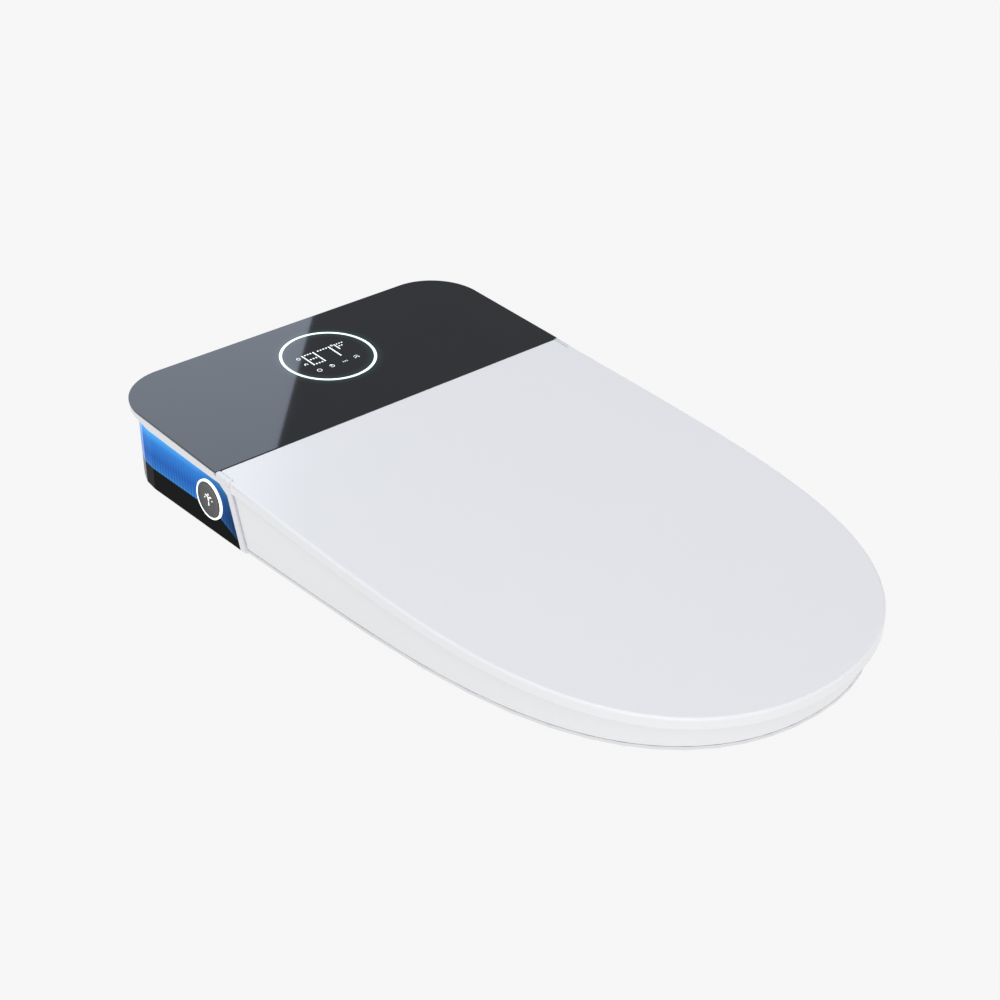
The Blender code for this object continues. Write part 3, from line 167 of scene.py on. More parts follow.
# The glass mirrors one softbox, whose straight side crosses it from the rear edge to
# the front edge. The box stands where those two mirrored rays go.
TOP_SLOPE = 0.058
REFLECTION_REAR_X, REFLECTION_FRONT_X = 31.2 * MM, -117.9 * MM
SOFTBOX_REACH, SOFTBOX = 2.4, (3.2, 1.5)
deck_low, deck_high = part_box("glass_top")
deck_normal = Vector((0.0, -TOP_SLOPE, 1.0)).normalized()
rear_mark = Vector((REFLECTION_REAR_X, deck_high[1], deck_high[2]))
front_mark = Vector((REFLECTION_FRONT_X, deck_low[1],
                     deck_high[2] - TOP_SLOPE * (deck_high[1] - deck_low[1])))


def mirrored_point(mark):
    """Where the camera's sight line through a mark on the glass goes, mirrored."""
    ray = (mark - camera.location).normalized()
    return mark + (ray - 2 * ray.dot(deck_normal) * deck_normal) * SOFTBOX_REACH


edge_rear, edge_front = mirrored_point(rear_mark), mirrored_point(front_mark)
edge_run = (edge_rear - edge_front).normalized()
edge_middle = (edge_rear + edge_front) / 2
look = (edge_middle - (rear_mark + front_mark) / 2).normalized()
leftward = look.cross(edge_run).normalized()
if leftward.x > 0:
    leftward = -leftward
area_light("deck_softbox", edge_middle + leftward * SOFTBOX[1] / 2, -look, edge_run, SOFTBOX,
           27, "#D8E6FA")
area_light("overhead_softbox", (-0.2, -0.5, 2.4), (0.1, 0.1, -1.0), (1, 0, 0), (2.4, 2.4), 19)
area_light("front_fill", (-1.6, -2.2, 0.9), (0.55, 0.75, -0.25), (1, -0.7, 0), (2.2, 1.4), 15)

# ---- Chassis, base pan and mounting plate ------------------------------------------
# The hidden structure is injection-moulded ABS and PP, left as it comes from the
# mould: a fine spark-eroded texture that scatters the light and shows small flow marks.
FLOW_PATCH, SPARK_RELIEF, PATCH_TINT = 40.0 * MM, 0.05 * MM, 0.955


def moulded(name, colour, rough, grain_mm=0.35, depth=0.06, coat=0.0):
    """Moulded plastic: soft colour patches, fine grain and uneven gloss."""
    made, tree, shader = new_material(name)
    place = add(tree, "ShaderNodeTexCoord").outputs["Object"]
    grain = add(tree, "ShaderNodeTexNoise", {"Scale": 1.0 / (grain_mm * MM), "Detail": 2.0},
                Vector=place).outputs["Fac"]
    patch = add(tree, "ShaderNodeTexNoise", {"Scale": 1.0 / FLOW_PATCH, "Detail": 3.0},
                Vector=place).outputs["Fac"]
    tint = linear(colour)
    darker = tuple(c * PATCH_TINT for c in tint[:3]) + (1.0,)
    mixed = add(tree, "ShaderNodeMix", {"data_type": "RGBA", 6: tint, 7: darker}, n0=patch)
    spread = add(tree, "ShaderNodeMapRange", {"To Min": rough - 0.04, "To Max": rough + 0.05},
                 Value=patch).outputs["Result"]
    bump = add(tree, "ShaderNodeBump", {"Strength": depth, "Distance": SPARK_RELIEF},
               Height=grain)
    tree.links.new(mixed.outputs[2], shader.inputs["Base Color"])
    tree.links.new(spread, shader.inputs["Roughness"])
    tree.links.new(bump.outputs["Normal"], shader.inputs["Normal"])
    shader.inputs["IOR"].default_value = 1.53
    shader.inputs["Coat Weight"].default_value = coat
    shader.inputs["Coat Roughness"].default_value = 0.06
    return made


DRESS_ANGLE = math.radians(32)


def dress(material, *nodes):
    """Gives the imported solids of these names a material."""
    for name in nodes:
        solid = frame["nodes"][name]
        solid.data.materials.clear()
        solid.data.materials.append(material)
        solid.data.shade_smooth()
        solid.data.set_sharp_from_angle(angle=DRESS_ANGLE)


# Satin white scatters the softboxes into broad, quiet highlights; the glass-filled black
# looks dry and coarse; acetal has the waxy half-gloss of gears and sliders.
satin_abs = moulded("satin_white_abs", "#DCDDDE", 0.42)
black_pp = moulded("black_glass_filled_pp", "#191A1C", 0.48, grain_mm=0.5, depth=0.12)
grey_pom = moulded("grey_acetal", "#6B6E72", 0.38, grain_mm=0.4)
white_pom = moulded("white_acetal", "#E2E2DF", 0.33, grain_mm=0.4)
dress(satin_abs, "base_pan", "water_heater_tank")
dress(black_pp, "mounting_plate", "dryer_blower_housing", "dryer_duct", "flow_meter",
      "deodoriser_fan_frame", "power_supply", "power_inlet_gland")
dress(grey_pom, "bolt_slider_right", "bolt_slider_left", "knob_encoder", "nozzle_cradle",
      "dryer_impeller", "inlet_valve", "changeover_valve", "deodoriser_fan", "release_guide",
      "release_button", "seat_damper", "lid_damper")
dress(white_pom, "front_pinion", "rear_pinion", "front_nozzle", "rear_nozzle")


# ---- Metal parts -------------------------------------------------------------------
# Turned and drawn metal: stainless pins and motor cans, a nickel-free brass inlet and
# varnished copper windings. Fine turning lines run round them.
METAL_DRIFT, LINE_RELIEF, METAL_WORN = 12.0 * MM, 0.02 * MM, 0.86


def metal(name, colour, rough, line_mm=0.25):
    """Turned metal with fine lines and a little colour drift."""
    made, tree, shader = new_material(name)
    place = add(tree, "ShaderNodeTexCoord").outputs["Object"]
    lines = add(tree, "ShaderNodeTexWave", {"Scale": 0.05 / (line_mm * MM), "Distortion": 1.5,
                                            "bands_direction": "Y"}, Vector=place).outputs["Fac"]
    drift = add(tree, "ShaderNodeTexNoise", {"Scale": 1.0 / METAL_DRIFT}, Vector=place)
    tint = linear(colour)
    worn = tuple(c * METAL_WORN for c in tint[:3]) + (1.0,)
    mixed = add(tree, "ShaderNodeMix", {"data_type": "RGBA", 6: tint, 7: worn},
                n0=drift.outputs["Fac"])
    spread = add(tree, "ShaderNodeMapRange", {"To Min": rough - 0.05, "To Max": rough + 0.07},
                 Value=lines).outputs["Result"]
    bump = add(tree, "ShaderNodeBump", {"Strength": 0.08, "Distance": LINE_RELIEF}, Height=lines)
    tree.links.new(mixed.outputs[2], shader.inputs["Base Color"])
    tree.links.new(spread, shader.inputs["Roughness"])
    tree.links.new(bump.outputs["Normal"], shader.inputs["Normal"])
    shader.inputs["Metallic"].default_value = 1.0
    return made


# Steel gives sharp grey streaks, brass and copper the warm notes at the rear wall, and the
# foil a crumpled, broader sheen. The boards are deep green and the carbon takes no light.
dress(metal("stainless_steel", "#B9BABC", 0.26), "hinge_pin_right", "hinge_pin_left",
      "knob_shaft", "front_stepper", "rear_stepper", "dryer_motor", "inlet_strainer")
dress(metal("machined_brass", "#C9A256", 0.30), "water_inlet")
dress(metal("varnished_copper", "#B3623A", 0.34), "dryer_heater", "valve_solenoid")
dress(metal("aluminium_foil", "#C9CACC", 0.33, line_mm=1.2), "seat_heater_foil")
dress(moulded("solder_mask", "#0E4A2B", 0.40, grain_mm=0.8), "display_board", "main_board")
dress(moulded("bonded_carbon", "#131313", 0.85, grain_mm=1.1, depth=0.5), "deodoriser_filter")


# ---- Lid ---------------------------------------------------------------------------
# One polished white moulding of PP: a flat plate with a skirt all round the front, a
# tail that drops between the housing's cheeks, and a soft radius on every outer edge.
PEEL, HAZE_PATCH, PEEL_RELIEF = 9.0 * MM, 60.0 * MM, 0.03 * MM


def white_gloss(name, colour, rough):
    """Polished white plastic: deep gloss with a barely uneven, orange-peel surface."""
    made, tree, shader = new_material(name)
    place = add(tree, "ShaderNodeTexCoord").outputs["Object"]
    peel = add(tree, "ShaderNodeTexNoise", {"Scale": 1.0 / PEEL, "Detail": 1.0},
               Vector=place).outputs["Fac"]
    haze_and_ring_glow = add(tree, "ShaderNodeTexNoise", {"Scale": 1.0 / HAZE_PATCH, "Detail": 4.0},
               Vector=place).outputs["Fac"]
    tint = linear(colour)
    cooler = (tint[0] * 0.982, tint[1] * 0.988, tint[2], 1.0)
    mixed = add(tree, "ShaderNodeMix", {"data_type": "RGBA", 6: tint, 7: cooler}, n0=haze_and_ring_glow)
    spread = add(tree, "ShaderNodeMapRange", {"To Min": rough - 0.02, "To Max": rough + 0.03},
                 Value=haze_and_ring_glow).outputs["Result"]
    bump = add(tree, "ShaderNodeBump", {"Strength": 0.03, "Distance": PEEL_RELIEF},
               Height=peel)
    tree.links.new(mixed.outputs[2], shader.inputs["Base Color"])
    tree.links.new(spread, shader.inputs["Roughness"])
    tree.links.new(bump.outputs["Normal"], shader.inputs["Normal"])
    shader.inputs["IOR"].default_value = 1.49
    return made


# Polished white carries a faint mirror of the tent over a clean, slightly cool body.
polished_pp = white_gloss("polished_white_pp", "#E7E7E8", 0.16)
joints = {joint["name"]: joint for joint in frame["record"]["behaviour"]["joints"]}
hinge = Vector(joints["lid_hinge"]["pos_m"])
HALF = deck_high[0]
HINGE_DEPTH, JOINT_BEHIND = 7.0 * MM, 7.7 * MM
JOINT_Y = hinge.y + JOINT_BEHIND
TIP_Y = Vector(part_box("lid")[0]).y
LID_LENGTH = JOINT_Y - TIP_Y
CURVE_FRONT, CURVE_SIDE = 4.655, 2.116
JOINT_Z = hinge.z + HINGE_DEPTH + TOP_SLOPE * JOINT_BEHIND
LID_SKIRT, LID_PLATE, LID_WALL = 9.0 * MM, 2.6 * MM, 3.0 * MM
CHEEK, RUN_GAP, NOSE = 4.0 * MM, 0.8 * MM, 10.9 * MM
TAIL_HALF = HALF - CHEEK - 0.35 * MM
LID_REAR_Y = JOINT_Y - 0.5 * MM
FOOT_GAP = 3.0 * MM


def top_z(y):
    """Height of the flush top surface at y."""
    return JOINT_Z + TOP_SLOPE * (y - JOINT_Y)


def lid_curve(steps, inset_rear=0.0, inset_tip=0.0, from_y=None):
    """Right half of the lid's plan from the widest part to the tip, as (x, y)."""
    start = 0.0
    if from_y is not None:
        start = math.asin(((JOINT_Y - from_y) / LID_LENGTH) ** (CURVE_FRONT / 2))
    points = []
    for step in range(steps + 1):
        angle = start + (math.pi / 2 - start) * (step / steps) ** 0.9
        along = math.sin(angle) ** (2 / CURVE_FRONT)
        across = max(math.cos(angle), 0.0) ** (2 / CURVE_SIDE) if step < steps else 0.0
        inset = inset_rear + (inset_tip - inset_rear) * along
        points.append(((HALF - inset) * across, JOINT_Y - (LID_LENGTH - inset_tip) * along))
    return points


def inward(points):
    """Unit normals of a right-hand outline run from rear to tip, turned inwards."""
    found = []
    for index in range(len(points)):
        before = Vector(points[max(index - 1, 0)])
        after = Vector(points[min(index + 1, len(points) - 1)])
        run = (after - before).normalized()
        found.append(Vector((run.y, -run.x)))
    found[-1] = Vector((0.0, 1.0))
    return found


def loft(name, rings, material, body, close=False):
    """Skins a stack of rings of equal length and caps it, or closes it on itself."""
    bm = bmesh.new()
    made = [[bm.verts.new(point) for point in ring] for ring in rings]
    pairs = list(zip(made, made[1:])) + ([(made[-1], made[0])] if close else [])
    for lower, upper in pairs:
        for index in range(len(lower)):
            after = (index + 1) % len(lower)
            bm.faces.new((lower[index], lower[after], upper[after], upper[index]))
    if not close:
        bm.faces.new(made[0][::-1])
        bm.faces.new(made[-1])
    bmesh.ops.recalc_face_normals(bm, faces=bm.faces)
    piece = mesh_object(name, bm, material)
    piece.data.shade_smooth()
    piece.data.set_sharp_from_angle(angle=math.radians(50))
    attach(piece, body)
    return piece


def whole(half):
    """Mirrors a right half (first and last points on or off the middle line)."""
    return half + [(-x, y, z) for x, y, z in reversed(half) if x > 1e-7]


EDGE_STEPS = 6
SHOULDER_GAP, SHOULDER_CORNER, TAIL_CORNER = 0.4 * MM, 1.2 * MM, 1.0 * MM
TAIL_NOTCH, CURVE_BEHIND, SIDE_STEP = 0.6 * MM, 2.0 * MM, 0.3 * MM
TOP_RADIUS, TAIL_RADIUS, RIM_RADIUS = 1.9 * MM, 0.45 * MM, 0.5 * MM


def shoulder_y(drop):
    """The lid's shoulder, a round notch about the hinge axis, at a depth below the top."""
    height = HINGE_DEPTH - drop
    return hinge.y - math.sqrt(max((NOSE + SHOULDER_GAP) ** 2 - height ** 2, 0.0))


def lid_ring(inset, drop, tail_inset, tail_drop):
    """One ring of the lid: tail first, then the shoulder, then the long curve."""
    half = []
    rear_x = TAIL_HALF - tail_inset
    rear_y = LID_REAR_Y - tail_inset
    inner_y = shoulder_y(0.0) - tail_inset - TAIL_NOTCH
    for x, y in ((0.0, rear_y), (rear_x * 0.5, rear_y), (rear_x - TAIL_CORNER, rear_y),
                 (rear_x, rear_y - TAIL_CORNER), (rear_x, inner_y + TAIL_CORNER)):
        half.append((x, y, top_z(y) - tail_drop))
    side = lid_curve(64, from_y=shoulder_y(0.0) - CURVE_BEHIND)
    out_y = shoulder_y(drop) - inset
    half.append((rear_x, out_y, top_z(out_y) - drop))
    half.append((HALF - inset - SHOULDER_CORNER, out_y, top_z(out_y) - drop))
    for (x, y), normal in zip(side, inward(side)):
        px = x + normal.x * inset if x > 1e-9 else 0.0
        py = min(y + normal.y * inset, out_y - SIDE_STEP)
        half.append((px, py, top_z(py) - drop))
    return whole(half)


def edge_profile(radius, tail_radius):
    """Rings over a rounded top edge, from the flat top down to the vertical side."""
    rows = [(radius + 0.35 * MM, 0.0, tail_radius + 0.35 * MM, 0.0)]
    for step in range(EDGE_STEPS + 1):
        angle = math.pi / 2 * step / EDGE_STEPS
        inset, drop = 1 - math.sin(angle), 1 - math.cos(angle)
        rows.append((radius * inset, radius * drop, tail_radius * inset, tail_radius * drop))
    return rows


# Below the rounded edge the rows go down the skirt, round its rim, up the inside of the
# wall and through a fillet on to the plate. Each is (inset, drop) of the skirt, then of
# the tail, whose underside is flat.
TAIL_RIM, FILLET = 0.4 * MM, 1.6 * MM
rows = edge_profile(TOP_RADIUS, TAIL_RADIUS)
rows += [(0.0, TOP_RADIUS + 0.5 * MM, 0.0, TAIL_RADIUS + 0.3 * MM),
         (0.0, LID_SKIRT - RIM_RADIUS - 0.4 * MM, 0.0, LID_PLATE - 0.9 * MM)]
for step in range(4):
    angle = math.pi / 2 * step / 3
    inset, rise = 1 - math.cos(angle), 1 - math.sin(angle)
    rows.append((RIM_RADIUS * inset, LID_SKIRT - RIM_RADIUS * rise,
                 TAIL_RIM * inset, LID_PLATE - TAIL_RIM * rise))
rows += [(LID_WALL - RIM_RADIUS, LID_SKIRT, 0.8 * MM, LID_PLATE),
         (LID_WALL, LID_SKIRT - RIM_RADIUS, 1.2 * MM, LID_PLATE),
         (LID_WALL, LID_PLATE + FILLET, 1.6 * MM, LID_PLATE),
         (LID_WALL + 0.5 * MM, LID_PLATE + 0.5 * MM, 2.0 * MM, LID_PLATE),
         (LID_WALL + FILLET, LID_PLATE, 2.4 * MM, LID_PLATE),
         (LID_WALL + FILLET + 0.6 * MM, LID_PLATE, 2.8 * MM, LID_PLATE)]
lid = loft("lid_moulding", [lid_ring(*row) for row in rows], polished_pp, "lid")
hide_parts("lid")


# ---- Seat ring ---------------------------------------------------------------------
# The same white PP in two shells welded together: a gently dished ring with a rolled
# inner edge and a drafted outer wall, on a flat satin plate that leaves a shadow line.
SEAT_GAP, SEAT_FLOOR = 0.8 * MM, 2.5 * MM
INSET_REAR, INSET_TOP, INSET_FOOT = 1.4 * MM, 5.8 * MM, 8.0 * MM
LAND_REAR, LAND_TIP, HOLE_HALF = 92.0 * MM, 67.5 * MM, 107.0 * MM
SHADOW_LINE, CHEEK_AHEAD = 0.3 * MM, 33.5 * MM
REAR_CORNER, SIDE_FALL, LEVEL_Y = 1.2 * MM, 0.4 * MM, -55.0 * MM
FOOT_Z = FOOT_GAP + SEAT_FLOOR + SHADOW_LINE
CHEEK_FOOT_Y = JOINT_Y - CHEEK_AHEAD
CHEEK_SLOPE = (hinge.y - NOSE - CHEEK_FOOT_Y) / (hinge.z - FOOT_GAP)
HOLE_REAR, HOLE_TIP = JOINT_Y - LAND_REAR, TIP_Y + LAND_TIP
HOLE_MIDDLE, HOLE_REACH = (HOLE_REAR + HOLE_TIP) / 2, (HOLE_REAR - HOLE_TIP) / 2


def cheek_y(z, ahead):
    """A line that runs ahead of the housing's slanted front edge, at a height."""
    return CHEEK_FOOT_Y + CHEEK_SLOPE * (z - FOOT_GAP) - ahead


def seat_top(y):
    """Height of the seat's upper edge, just under the lid's skirt."""
    return top_z(y) - LID_SKIRT - SEAT_GAP


def hole_point(x, y, grow):
    """The hole's edge in the direction of (x, y) from its middle."""
    low, high = -math.pi / 2, math.pi / 2
    wanted = math.atan2(y - HOLE_MIDDLE, x)
    for _ in range(40):
        angle = (low + high) / 2
        along = math.copysign(abs(math.sin(angle)) ** 0.9, math.sin(angle)) * (HOLE_REACH + grow)
        across = max(math.cos(angle), 0.0) ** 0.85 * (HOLE_HALF + grow)
        low, high = (angle, high) if math.atan2(along, across) < wanted else (low, angle)
    return (across if x > 1e-7 else 0.0, HOLE_MIDDLE + along)


def seat_row(height, inset, mix=0.0, grow=0.0, sink=0.0):
    """One ring round the seat: height runs 0 at the foot to 1 at the top edge."""
    level = FOOT_Z + (seat_top(LEVEL_Y) - FOOT_Z) * height
    rear_y = cheek_y(level, RUN_GAP) - inset
    tip = INSET_FOOT + (INSET_TOP - INSET_FOOT) * height
    side = lid_curve(72, INSET_REAR, tip, from_y=rear_y - REAR_CORNER)
    half = [((side[0][0] - inset) * share, rear_y) for share in (0.0, 0.2, 0.4, 0.6, 0.8, 0.94)]
    for (x, y), normal in zip(side, inward(side)):
        px = x + normal.x * inset if x > 1e-9 else 0.0
        half.append((px, min(y + normal.y * inset, rear_y - SIDE_FALL)))
    placed = []
    for x, y in half:
        hx, hy = hole_point(x, y, grow)
        px, py = x + (hx - x) * mix, y + (hy - y) * mix
        placed.append((px, py, FOOT_Z + (seat_top(py) - FOOT_Z) * height - sink))
    return whole(placed)


# The rows go up the outer wall, over its rolled top edge, across the dished top, round the
# rolled edge of the hole and down inside it to the foot.
ROLL, HOLE_ROLL, DISH = 1.6 * MM, 5.0 * MM, 3.2 * MM
rows = [seat_row(0.0, 0.9 * MM), seat_row(0.015, 0.2 * MM), seat_row(0.04, 0.0),
        seat_row(0.5, 0.0), seat_row(0.93, 0.0)]
for step in range(6):
    angle = math.pi / 2 * step / 5
    rows.append(seat_row(1.0, ROLL * (1 - math.cos(angle)), sink=ROLL * (1 - math.sin(angle))))
for mix in (0.05, 0.12, 0.25, 0.4, 0.55, 0.7, 0.85):
    sink = DISH * math.sin(mix * 1.35) ** 2
    rows.append(seat_row(1.0, ROLL, mix=mix, grow=HOLE_ROLL, sink=sink))
for step in range(6):
    angle = math.pi / 2 * step / 5
    rows.append(seat_row(1.0, ROLL, mix=1.0, grow=HOLE_ROLL * (1 - math.sin(angle)),
                         sink=DISH + HOLE_ROLL * (1 - math.cos(angle))))
rows += [seat_row(0.7, ROLL, mix=1.0), seat_row(0.04, ROLL, mix=1.0),
         seat_row(0.0, ROLL, mix=1.0, grow=0.6 * MM)]
seat = loft("seat_ring_shell", rows, polished_pp, "seat", close=True)
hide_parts("seat_top_shell")


def block(low, high):
    """A plain box that cuts a mesh, kept out of the picture."""
    bm = bmesh.new()
    bmesh.ops.create_cube(bm, size=1.0)
    for vert in bm.verts:
        vert.co = [low[i] + (vert.co[i] + 0.5) * (high[i] - low[i]) for i in range(3)]
    return mesh_object("block", bm)


def carve(piece, tool):
    """Cuts the tool out of a piece and removes the tool."""
    step = piece.modifiers.new("carve", "BOOLEAN")
    step.object, step.operation, step.solver = tool, "DIFFERENCE", "EXACT"
    baked = bpy.data.meshes.new_from_object(piece.evaluated_get(
        bpy.context.evaluated_depsgraph_get()))
    piece.modifiers.clear()
    piece.data = baked
    tool_mesh = tool.data
    bpy.data.objects.remove(tool)
    bpy.data.meshes.remove(tool_mesh)


# A recess under the rear leaves room for the wands and for the dryer's flap.
RECESS_LOW = (-88.0 * MM, -150.0 * MM, -10.0 * MM)
RECESS_HIGH = (26.0 * MM, 0.0, 23.5 * MM)
carve(seat, block(RECESS_LOW, RECESS_HIGH))
seat.data.set_sharp_from_angle(angle=math.radians(40))


def tube(name, start, end, radius, material, body, sides=48, inner=0.0):
    """A round bar, or a tube if it has an inner radius, with softened ends."""
    start, end = Vector(start), Vector(end)
    line = (end - start).normalized()
    turn = line.to_track_quat("Z", "Y").to_matrix()
    reach, soft = (end - start).length, min(0.3 * MM, radius * 0.2)
    stations = [(soft, 0.0), (0.0, soft), (0.0, reach - soft), (soft, reach)]
    if inner:
        stations += [(radius - inner - soft, reach), (radius - inner, reach - soft),
                     (radius - inner, soft), (radius - inner - soft, 0.0)]
    rings = []
    for inset, along in stations:
        ring = []
        for side in range(sides):
            angle = 2 * math.pi * side / sides
            spoke = Vector((math.cos(angle), math.sin(angle), 0.0)) * (radius - inset)
            ring.append(start + turn @ (spoke + Vector((0.0, 0.0, along))))
        rings.append(ring)
    return loft(name, rings, material, body, close=bool(inner))


EAR_LID, EAR_SEAT, KNUCKLE = 9.5 * MM, 11.0 * MM, 4.0 * MM
EAR_BORE, EAR_GAP = 2.25 * MM, 0.4 * MM
for side, tag in ((-1, "right"), (1, "left")):
    outer = side * (TAIL_HALF - EAR_GAP)
    inner = side * (TAIL_HALF - EAR_LID)
    ear = tube("lid_ear_" + tag, (inner, hinge.y, hinge.z), (outer, hinge.y, hinge.z),
               KNUCKLE, polished_pp, "lid", inner=EAR_BORE)
    outer = side * (TAIL_HALF - EAR_LID - RUN_GAP)
    knuckle = tube("seat_ear_" + tag, (outer - side * EAR_SEAT, hinge.y, hinge.z),
                   (outer, hinge.y, hinge.z), KNUCKLE, polished_pp, "seat", inner=EAR_BORE)
dress(satin_abs, "seat_under_plate")
# Milky silicone: matt and a little yellow beside the plastic.
bumper_rubber = moulded("white_silicone_rubber", "#D5D5D1", 0.62, grain_mm=0.6)
dress(bumper_rubber, "seat_bumper_front_left", "seat_bumper_front_right",
      "seat_bumper_rear_left", "seat_bumper_rear_right", "lid_bumper_left", "lid_bumper_right")


# ---- Glass deck and its display ----------------------------------------------------
# One sheet of smoked, back-painted tempered glass with a ground edge. A white LED ring,
# a dot-matrix reading and small status marks shine through windows in the paint.
GLASS_THICK, GLASS_CORNER, GLASS_BEVEL = 1.7 * MM, 47.8 * MM, 0.35 * MM
REAR_Y, GLASS_FRONT_Y = deck_high[1], JOINT_Y + 0.5 * MM
# The display's ring: its middle and radius on the deck, in mm.
RING_X, RING_Y, RING_R, RING_RISE = 0.0, 62.9, 39.6, 5.4
GLASS_CLOUD, GLASS_WAVE, WAVE_RELIEF = 90.0 * MM, 50.0 * MM, 0.02 * MM
# How far the painted glow of the ring's light reaches in the glass, and its emission strength.
RING_GLOW_REACH, PAINTED_RING_GLOW = 9.0 * MM, 0.035
# Near black with a hard mirror: it turns grey only where it mirrors the softbox. Round the ring
# a faint green glow of the ring's light is painted into the glass as emission.
smoked_glass, tree, shader = new_material("back_painted_smoked_glass")
place = add(tree, "ShaderNodeTexCoord").outputs["Object"]
cloud = add(tree, "ShaderNodeTexNoise", {"Scale": 1.0 / GLASS_CLOUD, "Detail": 2.0},
            Vector=place).outputs["Fac"]
paint = add(tree, "ShaderNodeMix",
            {"data_type": "RGBA", 6: linear("#222427"), 7: linear("#27292B")}, n0=cloud)
wave = add(tree, "ShaderNodeTexNoise", {"Scale": 1.0 / GLASS_WAVE}, Vector=place).outputs["Fac"]
bump = add(tree, "ShaderNodeBump", {"Strength": 0.015, "Distance": WAVE_RELIEF}, Height=wave)
# Painted glow: the glass itself emits pale green near the ring, fading out with distance from
# it.
ring_middle = (RING_X * MM, RING_Y * MM, JOINT_Z + RING_RISE * MM)
away = add(tree, "ShaderNodeVectorMath", {"operation": "DISTANCE", 1: ring_middle}, n0=place)
off_ring = add(tree, "ShaderNodeMath", {"operation": "SUBTRACT", 1: RING_R * MM},
               n0=away.outputs["Value"]).outputs[0]
near_ring = add(tree, "ShaderNodeMath", {"operation": "ABSOLUTE"}, n0=off_ring).outputs[0]
haze_and_ring_glow = add(tree, "ShaderNodeMapRange",
           {"interpolation_type": "SMOOTHSTEP", "From Min": RING_GLOW_REACH, "From Max": 0.0,
            "To Min": 0.0, "To Max": PAINTED_RING_GLOW}, Value=near_ring).outputs["Result"]
shader.inputs["Emission Color"].default_value = linear("#8FE8D6")
tree.links.new(haze_and_ring_glow, shader.inputs["Emission Strength"])
tree.links.new(paint.outputs[2], shader.inputs["Base Color"])
tree.links.new(bump.outputs["Normal"], shader.inputs["Normal"])
shader.inputs["Roughness"].default_value = 0.035
shader.inputs["IOR"].default_value = 1.52
shader.inputs["Coat Weight"].default_value = 0.25
shader.inputs["Coat Roughness"].default_value = 0.02


CORNER_STEPS, FRONT_STEPS, FRONT_CORNER = 24, 4, 1.2 * MM


def deck_ring(inset, drop, slant=0.0):
    """One ring of the glass: right half from the rear middle round to the front middle."""
    radius = GLASS_CORNER - inset
    half = [(0.0, REAR_Y - inset)]
    for step in range(CORNER_STEPS + 1):
        angle = math.pi / 2 * (1 - step / CORNER_STEPS)
        half.append((HALF - GLASS_CORNER + radius * math.cos(angle),
                     REAR_Y - GLASS_CORNER + radius * math.sin(angle)))
    front = GLASS_FRONT_Y + inset * 0.6 + slant
    for step in range(FRONT_STEPS + 1):
        angle = math.pi / 2 * step / FRONT_STEPS
        half.append((HALF - inset - FRONT_CORNER + FRONT_CORNER * math.cos(angle),
                     front + FRONT_CORNER - FRONT_CORNER * math.sin(angle)))
    half.append((0.0, front))
    return whole([(x, y, top_z(y) - drop) for x, y in half])


rows = [deck_ring(GLASS_BEVEL + 0.4 * MM, 0.0)]
for step in range(5):
    angle = math.pi / 2 * step / 4
    rows.append(deck_ring(GLASS_BEVEL * (1 - math.sin(angle)),
                          GLASS_BEVEL * (1 - math.cos(angle))))
rows += [deck_ring(0.0, 0.6 * MM), deck_ring(0.0, GLASS_THICK - 0.2 * MM, 0.8 * MM),
         deck_ring(0.2 * MM, GLASS_THICK, 1.0 * MM)]
glass = loft("glass_deck", rows, smoked_glass, "chassis")
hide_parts("glass_top")


def glow(name, colour, power):
    """Lit diffuser: bright in its own colour, a touch dimmer where it turns away."""
    made, tree, shader = new_material(name)
    edge = add(tree, "ShaderNodeLayerWeight", {"Blend": 0.35}).outputs["Facing"]
    strength = add(tree, "ShaderNodeMapRange", {"To Min": power, "To Max": power * 0.55},
                   Value=edge).outputs["Result"]
    tree.links.new(strength, shader.inputs["Emission Strength"])
    shader.inputs["Emission Color"].default_value = linear(colour)
    shader.inputs["Base Color"].default_value = linear("#E8F4F2")
    shader.inputs["Roughness"].default_value = 0.4
    return made


def on_deck(x, y, rise):
    """A point above the glass, from its place on the deck in mm."""
    return Vector((x * MM, y * MM, top_z(y * MM) + rise))


def lit_prisms(name, outlines, place, low, high, material, body):
    """One lit mesh of closed prisms: place puts an outline's point at a level."""
    bm = bmesh.new()
    for outline in outlines:
        first = [bm.verts.new(place(a, b, low)) for a, b in outline]
        last = [bm.verts.new(place(a, b, high)) for a, b in outline]
        bm.faces.new(first[::-1])
        bm.faces.new(last)
        for index in range(len(outline)):
            after = (index + 1) % len(outline)
            bm.faces.new((first[index], first[after], last[after], last[index]))
    bmesh.ops.recalc_face_normals(bm, faces=bm.faces)
    made = mesh_object(name, bm, material)
    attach(made, body)


def dot(x, y, radius, sides=12):
    """A round dot's outline."""
    return [(x + radius * math.cos(2 * math.pi * k / sides),
             y + radius * math.sin(2 * math.pi * k / sides)) for k in range(sides)]


def arc_band(x, y, radius, width, start=0.0, end=360.0, steps=24):
    """Small quads that follow an arc."""
    parts = []
    for step in range(steps):
        a, b = [math.radians(start + (end - start) * k / steps) for k in (step, step + 1)]
        parts.append([(x + r * math.cos(t), y + r * math.sin(t)) for r, t in
                      ((radius - width / 2, a), (radius + width / 2, a),
                       (radius + width / 2, b), (radius - width / 2, b))])
    return parts


# The ring glows a greenish white, the reading a plain one, the marks a dimmer one.
DECK_LOW, DECK_HIGH, RING_WIDTH = -0.05 * MM, 0.03 * MM, 2.4
lit_prisms("display_ring", arc_band(RING_X, RING_Y, RING_R, RING_WIDTH, steps=120), on_deck,
           DECK_LOW, DECK_HIGH, glow("display_ring_led", "#E6FFF9", 1.0), "chassis")
